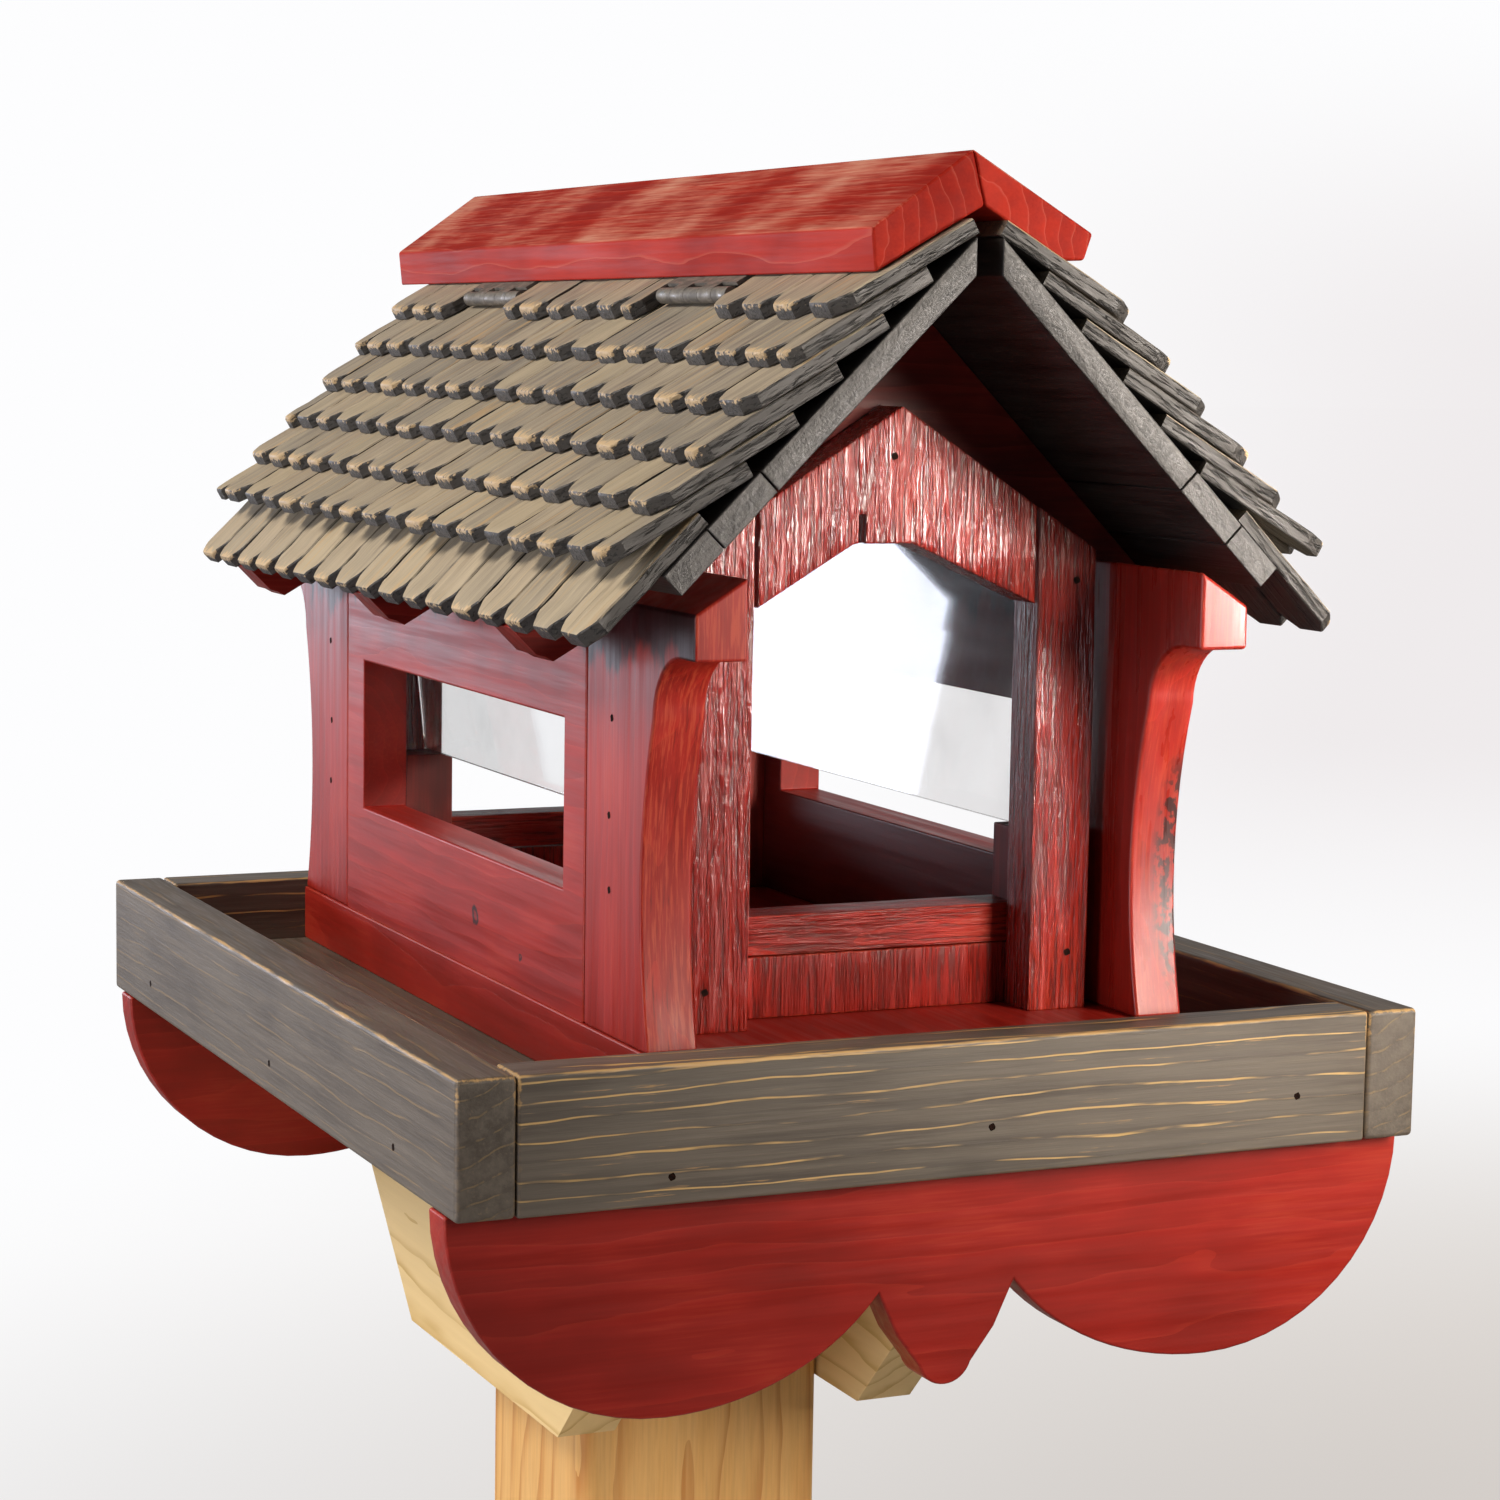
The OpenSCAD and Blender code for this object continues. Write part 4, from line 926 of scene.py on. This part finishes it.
def slat_spans(number, gaps):
    """The slats of one course as (start, end) along the roof; even courses break joint, and the
    gaps leave room for the hinges."""
    shift = STEP / 2 if number % 2 == 0 else 0.0
    spans = []
    for i in range(SLATS + (1 if shift else 0)):
        y0 = max(0.0, i * STEP - shift) + ROOF_Y0 + SLAT_GAP / 2
        y1 = min(ROOF_Y1 - ROOF_Y0, (i + 1) * STEP - shift) + ROOF_Y0 - SLAT_GAP / 2
        parts = [(y0, y1)]
        for g0, g1 in gaps:
            parts = [span for a, b in parts for span in ((a, min(b, g0)), (max(a, g1), b))
                     if span[1] - span[0] > 3 * MM]
        spans += parts
    return spans


def course(side, number):
    """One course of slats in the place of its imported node."""
    node = f"shingles_{side}_{number}"
    low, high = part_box(node)
    flat = number == COURSES
    pitch = ROOF_PITCH if flat else ROOF_PITCH - SLAT_TILT
    length = (high.x - low.x - SLAT_T * math.sin(pitch)) / math.cos(pitch)
    gaps = hinge_gaps() if side == "left" and number == 1 else []
    spans = slat_spans(number, gaps)
    points = bpy.data.meshes.new(node + "_points")
    points.from_pydata([(0.0, y0, 0.0) for y0, _ in spans], [], [])
    full = STEP - SLAT_GAP
    chance = random.Random(node)
    store(points, "size", "FLOAT_VECTOR",
          [(length / SLAT_L, (y1 - y0) / full, chance.uniform(0.9, 1.0)) for y0, y1 in spans])
    ground = in_scene(node + "_ground", points)
    layer = ground.modifiers.new("lay", "NODES")
    layer.node_group = LAY
    layer[LAY_INPUTS["Slide"]] = 0.0 if flat else 0.7 * MM
    layer[LAY_INPUTS["Turn"]] = math.radians(0.5)
    layer[LAY_INPUTS["Seed"]] = number * 10 + (5 if side == "left" else 0)
    layer[LAY_INPUTS["Finish"]] = SHINGLE
    mesh = baked(ground)
    bpy.data.objects.remove(ground)
    sign = 1 if side == "right" else -1
    along = Vector((sign * math.cos(pitch), 0, -math.sin(pitch)))
    out = Vector((sign * math.sin(pitch), 0, math.cos(pitch)))
    top_x = low.x if side == "right" else high.x
    top_z = high.z - SLAT_T * math.cos(pitch)
    place = Matrix.Identity(4)
    for i in range(3):
        place[i][0], place[i][1], place[i][2] = along[i], (0, 1, 0)[i], out[i]
    place[0][3], place[2][3] = top_x, top_z
    mesh.transform(place)
    if side == "left":
        mesh.flip_normals()
    new_object(node + "_slats", mesh, SHINGLE, "root", node)


def hinge_gaps():
    """The room along the roof that each hinge needs in the top course: its pin and a bit more."""
    ys = sorted(v.co.y for v in frame["nodes"]["hinge_pins"].data.vertices)
    middle = (ys[0] + ys[-1]) / 2
    front = [y for y in ys if y < middle]
    back = [y for y in ys if y > middle]
    return [(pin[0] - HINGE_ROOM, pin[-1] + HINGE_ROOM) for pin in (front, back)]


for side in ("left", "right"):
    for number in range(1, COURSES + 1):
        course(side, number)


# Nail holes: a small dark pit over each set nail, laid by Geometry Nodes

# A pit is drawn a little wider than the real hole, so that it shows
PIT_R = 1.5 * MM
PIT_SIDES = 10


def pit_mesh():
    """A round, slightly ragged pit that faces +Z, 3 mm across."""
    chance = random.Random(7)
    shape = bmesh.new()
    rim = []
    for i in range(PIT_SIDES):
        angle = 2 * math.pi * i / PIT_SIDES
        r = PIT_R * chance.uniform(0.75, 1.1)
        rim.append(shape.verts.new((r * math.cos(angle), r * math.sin(angle), 0.0)))
    middle = shape.verts.new((0, 0, -0.02 * MM))
    for i in range(PIT_SIDES):
        shape.faces.new((rim[i], rim[(i + 1) % PIT_SIDES], middle))
    mesh = bpy.data.meshes.new("pit")
    shape.to_mesh(mesh)
    shape.free()
    return in_scene("pit", mesh)


def pit_tree():
    """Geometry Nodes: one pit on each point, turned to the point's own facing."""
    tree = bpy.data.node_groups.new("set_nails", "GeometryNodeTree")
    tree.interface.new_socket("Points", in_out="INPUT", socket_type="NodeSocketGeometry")
    names = {}
    for name, kind in (("Pit", "NodeSocketObject"), ("Finish", "NodeSocketMaterial")):
        names[name] = tree.interface.new_socket(name, in_out="INPUT", socket_type=kind).identifier
    tree.interface.new_socket("Pits", in_out="OUTPUT", socket_type="NodeSocketGeometry")
    given = add(tree, "NodeGroupInput").outputs
    pit = add(tree, "GeometryNodeObjectInfo", {"Object": given["Pit"]})
    facing = add(tree, "GeometryNodeInputNamedAttribute", {"Name": "facing"}, data_type="FLOAT_VECTOR")
    turn = add(tree, "FunctionNodeAlignRotationToVector", {"Vector": facing.outputs[0]}, axis="Z")
    laid = add(tree, "GeometryNodeInstanceOnPoints", {"Points": given["Points"],
                                                      "Instance": pit.outputs["Geometry"],
                                                      "Rotation": turn.outputs[0]})
    real = add(tree, "GeometryNodeRealizeInstances", {0: laid.outputs[0]})
    dressed = add(tree, "GeometryNodeSetMaterial",
                  {"Geometry": real.outputs[0], "Material": given["Finish"]})
    add(tree, "NodeGroupOutput", {0: dressed.outputs[0]})
    return tree, names


# Nails seen in the photo, in metres. Front rail and gable: across and up. Side rails: along.
# Corner boards: along and up
FRONT_NAILS = ((-0.0863, 0.2941), (0.0268, 0.3011), (0.144, 0.3026))
SIDE_NAILS = (-0.1587, -0.02, 0.145)
LEFT_NAILS_UP = 0.2964
RIGHT_NAILS_UP = 0.2975
CORNER_NAILS = ((-0.1543, 0.4317), (-0.1527, 0.3996), (-0.1535, 0.3750))
GABLE_NAILS = ((0.0142, 0.5170), (-0.0517, 0.3405), (0.0846, 0.3464), (0.0846, 0.4750))
# How far a pit lies in front of its board, and the middle of the house, along
PROUD = 0.05 * MM
HOUSE_Y = -3 * MM


def nail_places():
    """Points just in front of the boards' faces, with the way that each face looks. The back and
    the right have the same nails as the front and the left."""
    rail_front, rail_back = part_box("rail_front")[0].y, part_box("rail_back")[1].y
    rail_left, rail_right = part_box("rail_left")[0].x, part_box("rail_right")[1].x
    wall_left, wall_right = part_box("wall_left")[0].x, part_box("wall_right")[1].x
    gable_front, gable_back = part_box("front_head")[0].y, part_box("back_head")[1].y
    spots = []
    for x, z in FRONT_NAILS:
        spots.append(((x, rail_front - PROUD, z), (0, -1, 0)))
        spots.append(((2 * ROOF_X - x, rail_back + PROUD, z), (0, 1, 0)))
    for y in SIDE_NAILS:
        spots.append(((rail_left + 0.2 * PROUD, y, LEFT_NAILS_UP), (-1, 0, 0)))
        spots.append(((rail_right - 0.2 * PROUD, y, RIGHT_NAILS_UP), (1, 0, 0)))
    for y, z in CORNER_NAILS:
        for along in (y, 2 * HOUSE_Y - y):
            spots.append(((wall_left - PROUD, along, z), (-1, 0, 0)))
            spots.append(((wall_right + PROUD, along, z), (1, 0, 0)))
    for x, z in GABLE_NAILS:
        spots.append(((x, gable_front + 2 * PROUD, z), (0, -1, 0)))
        spots.append(((2 * ROOF_X - x, gable_back - 2 * PROUD, z), (0, 1, 0)))
    return spots


PIT = pit_mesh()
SPOTS = nail_places()
spot_mesh = bpy.data.meshes.new("nail_points")
spot_mesh.from_pydata([place for place, _ in SPOTS], [], [])
store(spot_mesh, "facing", "FLOAT_VECTOR", [facing for _, facing in SPOTS])
spot_object = in_scene("nail_points", spot_mesh)
setter = spot_object.modifiers.new("set", "NODES")
setter.node_group, NAIL_INPUTS = pit_tree()
setter[NAIL_INPUTS["Pit"]] = PIT
setter[NAIL_INPUTS["Finish"]] = HOLE
new_object("nail_holes", baked(spot_object), HOLE, "root")
bpy.data.objects.remove(spot_object)
bpy.data.objects.remove(PIT)


# Stage, light and camera

PAPER_WHITE = "#fdfdfe"
PAPER_IN_SHADE = "#efebec"
# The studio's painted shade deepens this way, to the camera's right, as X and Y
GREY_WAY = (0.911, -0.413)
FLOOR_HALF = 30.0


def white_seen(tree, mirrored):
    """How white the studio looks, from 0 to 1: white to the camera, also through a pane, and in
    reflections as white as mirrored says. It adds no light to what the lamps give."""
    rays = add(tree, "ShaderNodeLightPath").outputs
    direct = add(tree, "ShaderNodeMath", {
        0: rays["Is Camera Ray"], 1: rays["Is Transmission Ray"]}, operation="MAXIMUM").outputs[0]
    first = add(tree, "ShaderNodeMath", {
        0: rays["Diffuse Depth"], 1: 0.5}, operation="LESS_THAN").outputs[0]
    direct = add(tree, "ShaderNodeMath", {0: direct, 1: first}, operation="MULTIPLY").outputs[0]
    glossy = add(tree, "ShaderNodeMath", {
        0: rays["Is Glossy Ray"], 1: mirrored}, operation="MULTIPLY").outputs[0]
    return add(tree, "ShaderNodeMath", {0: direct, 1: glossy}, operation="MAXIMUM").outputs[0]


def grey_way(tree, parts):
    """How far a direction or a place lies towards the side of the studio's painted shade."""
    return total(tree, (parts["X"], GREY_WAY[0]), (parts["Y"], GREY_WAY[1]))


def pale_stage():
    """A pale studio floor that the camera sees near white, greyed towards the right front by painted
    shade and warm grey beside the object on the right by a painted shadow of it, with the object's soft
    shadow from the lamps on it."""
    material, tree = new_material("pale_floor")
    place = add(tree, "ShaderNodeTexCoord").outputs["Object"]
    parts = add(tree, "ShaderNodeSeparateXYZ", {0: place}).outputs
    reach = add(tree, "ShaderNodeVectorMath", {0: place}, operation="LENGTH").outputs["Value"]
    behind = add(tree, "ShaderNodeMapRange", {0: parts["Y"], 1: -0.6, 2: 0.4}, **SMOOTH).outputs[0]
    mirrored = add(tree, "ShaderNodeMath", {
        0: add(tree, "ShaderNodeMapRange", {0: reach, 1: 2.6, 2: 5.2, 4: 0.8}, **SMOOTH).outputs[0],
        1: behind}, operation="MULTIPLY").outputs[0]
    seen = white_seen(tree, mirrored)
    under = add(tree, "ShaderNodeMath", {
        0: add(tree, "ShaderNodeMapRange", {0: reach, 1: 0.9, 2: 0.15}, **SMOOTH).outputs[0],
        1: 0.17}, operation="MULTIPLY").outputs[0]
    share = add(tree, "ShaderNodeMath", {
        0: seen, 1: under}, operation="SUBTRACT", use_clamp=True).outputs[0]
    sideways = add(tree, "ShaderNodeMath", {
        0: grey_way(tree, parts), 1: reach}, operation="DIVIDE").outputs[0]
    # Painted shade: the floor greys off far away towards the right
    far = add(tree, "ShaderNodeMath", {
        0: add(tree, "ShaderNodeMapRange", {0: sideways, 1: 0.0, 2: 0.24}, **SMOOTH).outputs[0],
        1: add(tree, "ShaderNodeMapRange", {0: reach, 1: 1.2, 2: 4.0}, **SMOOTH).outputs[0],
    }, operation="MULTIPLY").outputs[0]
    tint = add(tree, "ShaderNodeMix", {0: far, 6: PAPER_WHITE, 7: PAPER_IN_SHADE}, **COLOURS).outputs[2]
    # Painted shadow of the object: a warm grey patch beside it on the right
    dim = add(tree, "ShaderNodeVectorMath", {0: place, 1: (0.75, 0.0, 0.0)}, operation="DISTANCE")
    tint = add(tree, "ShaderNodeMix", {
        0: add(tree, "ShaderNodeMapRange", {
            0: dim.outputs["Value"], 1: 1.35, 2: 0.2}, **SMOOTH).outputs[0],
        6: tint, 7: "#dad4cf"}, **COLOURS).outputs[2]
    paper = add(tree, "ShaderNodeBsdfDiffuse", {"Color": "#b8b8b8"})
    glow = add(tree, "ShaderNodeEmission", {"Color": tint, "Strength": 1.0})
    blend = add(tree, "ShaderNodeMixShader", {0: share, 1: paper.outputs[0], 2: glow.outputs[0]})
    add(tree, "ShaderNodeOutputMaterial", {"Surface": blend.outputs[0]})
    mesh = bpy.data.meshes.new("floor")
    r = FLOOR_HALF
    mesh.from_pydata([(-r, -r, 0), (r, -r, 0), (r, r, 0), (-r, r, 0)], [], [(0, 1, 2, 3)])
    mesh.materials.append(material)
    floor = in_scene("floor", mesh)


def studio_room(strength=0.06):
    """A dim room with a white sweep behind the object, up to head height, for it to mirror. The camera
    sees white all round, greyed low on its right by painted shade."""
    world = bpy.data.worlds.new("studio_room")
    bpy.context.scene.world = world
    world.use_nodes = True
    tree = world.node_tree
    tree.nodes.clear()
    way = add(tree, "ShaderNodeTexCoord").outputs["Generated"]
    way = add(tree, "ShaderNodeSeparateXYZ", {0: way}).outputs
    behind = add(tree, "ShaderNodeMapRange", {0: way["Y"], 1: -0.25, 2: 0.35}, **SMOOTH).outputs[0]
    sweep = add(tree, "ShaderNodeMath", {
        0: behind,
        1: add(tree, "ShaderNodeMapRange", {0: way["Z"], 1: 0.42, 2: 0.12}, **SMOOTH).outputs[0],
    }, operation="MULTIPLY").outputs[0]
    seen = white_seen(tree, sweep)
    sideways = add(tree, "ShaderNodeMapRange", {
        0: grey_way(tree, way), 1: 0.0, 2: 0.24}, **SMOOTH).outputs[0]
    # Painted shade: the world greys off low on the right
    shade = add(tree, "ShaderNodeMath", {
        0: sideways,
        1: add(tree, "ShaderNodeMapRange", {0: way["Z"], 1: 0.10, 2: 0.0}, **SMOOTH).outputs[0],
    }, operation="MULTIPLY").outputs[0]
    tint = add(tree, "ShaderNodeMix", {0: shade, 6: PAPER_WHITE, 7: PAPER_IN_SHADE}, **COLOURS).outputs[2]
    lit = add(tree, "ShaderNodeBackground", {"Color": "#eef3fa", "Strength": strength})
    shown = add(tree, "ShaderNodeBackground", {"Color": tint, "Strength": 1.0})
    blend = add(tree, "ShaderNodeMixShader", {0: seen, 1: lit.outputs[0], 2: shown.outputs[0]})
    add(tree, "ShaderNodeOutputWorld", {"Surface": blend.outputs[0]})


def area_light(name, place, aim, size, tall, watts, colour, spread):
    """A soft lamp in metres and watts, out of the camera's sight: a disk, or a rectangle where
    tall is given. spread is the angle in degrees that its honeycomb grid lets through."""
    light = bpy.data.lights.new(name, "AREA")
    light.shape = "RECTANGLE" if tall else "DISK"
    light.size = size
    if tall:
        light.size_y = tall
    light.energy = watts
    light.spread = math.radians(spread)
    light.color = linear(colour)[:3]
    lamp = in_scene(name, light)
    lamp.location = place
    lamp.rotation_euler = (Vector(aim) - Vector(place)).to_track_quat("-Z", "Y").to_euler()
    lamp.visible_camera = False


LAMPS = [
    # name, place, aim, size, height of a rectangle, watts, colour, spread
    # Warm and close on the right: it models the front and puts the left in soft shade
    ("key_front_right", (0.45, -1.00, 0.70), (0.25, -0.15, 0.40), 0.26, 0.40, 1.75, "#fff3e4", 58),
    # Low and narrow, so that the saw ridges of the gable boards glint
    ("glint_low_right", (0.78, -1.00, 0.46), (0.04, -0.16, 0.50), 0.26, None, 0.32, "#fff6ee", 22),
    # Cool and wide on the left, for the walls and the rails in the shade
    ("fill_left", (-1.7, -0.35, 0.38), (0.0, 0.0, 0.30), 0.9, 0.7, 11.5, "#f2f3ff", 180),
    # Warm over the left slope, for the slats and the cap
    ("top_soft", (-1.25, 0.0, 1.55), (0.0, 0.0, 0.5), 0.7, None, 24, "#fff5e8", 180),
    # A lit strip behind on the left, which the left faces mirror as a cool sheen
    ("sweep_back_left", (-1.02, 2.36, 0.50), (0.08, 0.0, 0.43), 1.7, 0.46, 13, "#e6ebff", 180),
]

# The photo's viewpoint, found from the edges of the tray and the house: the lens on a 36 mm wide
# sensor, the place in metres, and the turn to the right, the tilt up and the roll in degrees
LENS_MM = 83.66
CAMERA_PLACE = (-0.5064, -1.1992, 0.5526)
CAMERA_TURN = (24.37, -6.615, 0.933)


def photo_camera():
    """The camera at the photo's viewpoint."""
    data = bpy.data.cameras.new("photo_camera")
    data.sensor_width = 36.0
    data.lens = LENS_MM
    camera = in_scene("photo_camera", data)
    yaw, pitch, roll = [math.radians(turn) for turn in CAMERA_TURN]
    ahead = Vector((math.sin(yaw) * math.cos(pitch), math.cos(yaw) * math.cos(pitch), math.sin(pitch)))
    level = Vector((math.cos(yaw), -math.sin(yaw), 0))
    up = level.cross(ahead)
    right = math.cos(roll) * level + math.sin(roll) * up
    upward = -math.sin(roll) * level + math.cos(roll) * up
    matrix = Matrix.Identity(4)
    for i in range(3):
        matrix[i][0], matrix[i][1], matrix[i][2] = right[i], upward[i], -ahead[i]
    matrix.translation = Vector(CAMERA_PLACE)
    camera.matrix_world = matrix
    bpy.context.scene.camera = camera


bpy.context.scene.view_settings.view_transform = "Standard"
pale_stage()
studio_room()
for lamp in LAMPS:
    area_light(*lamp)
photo_camera()
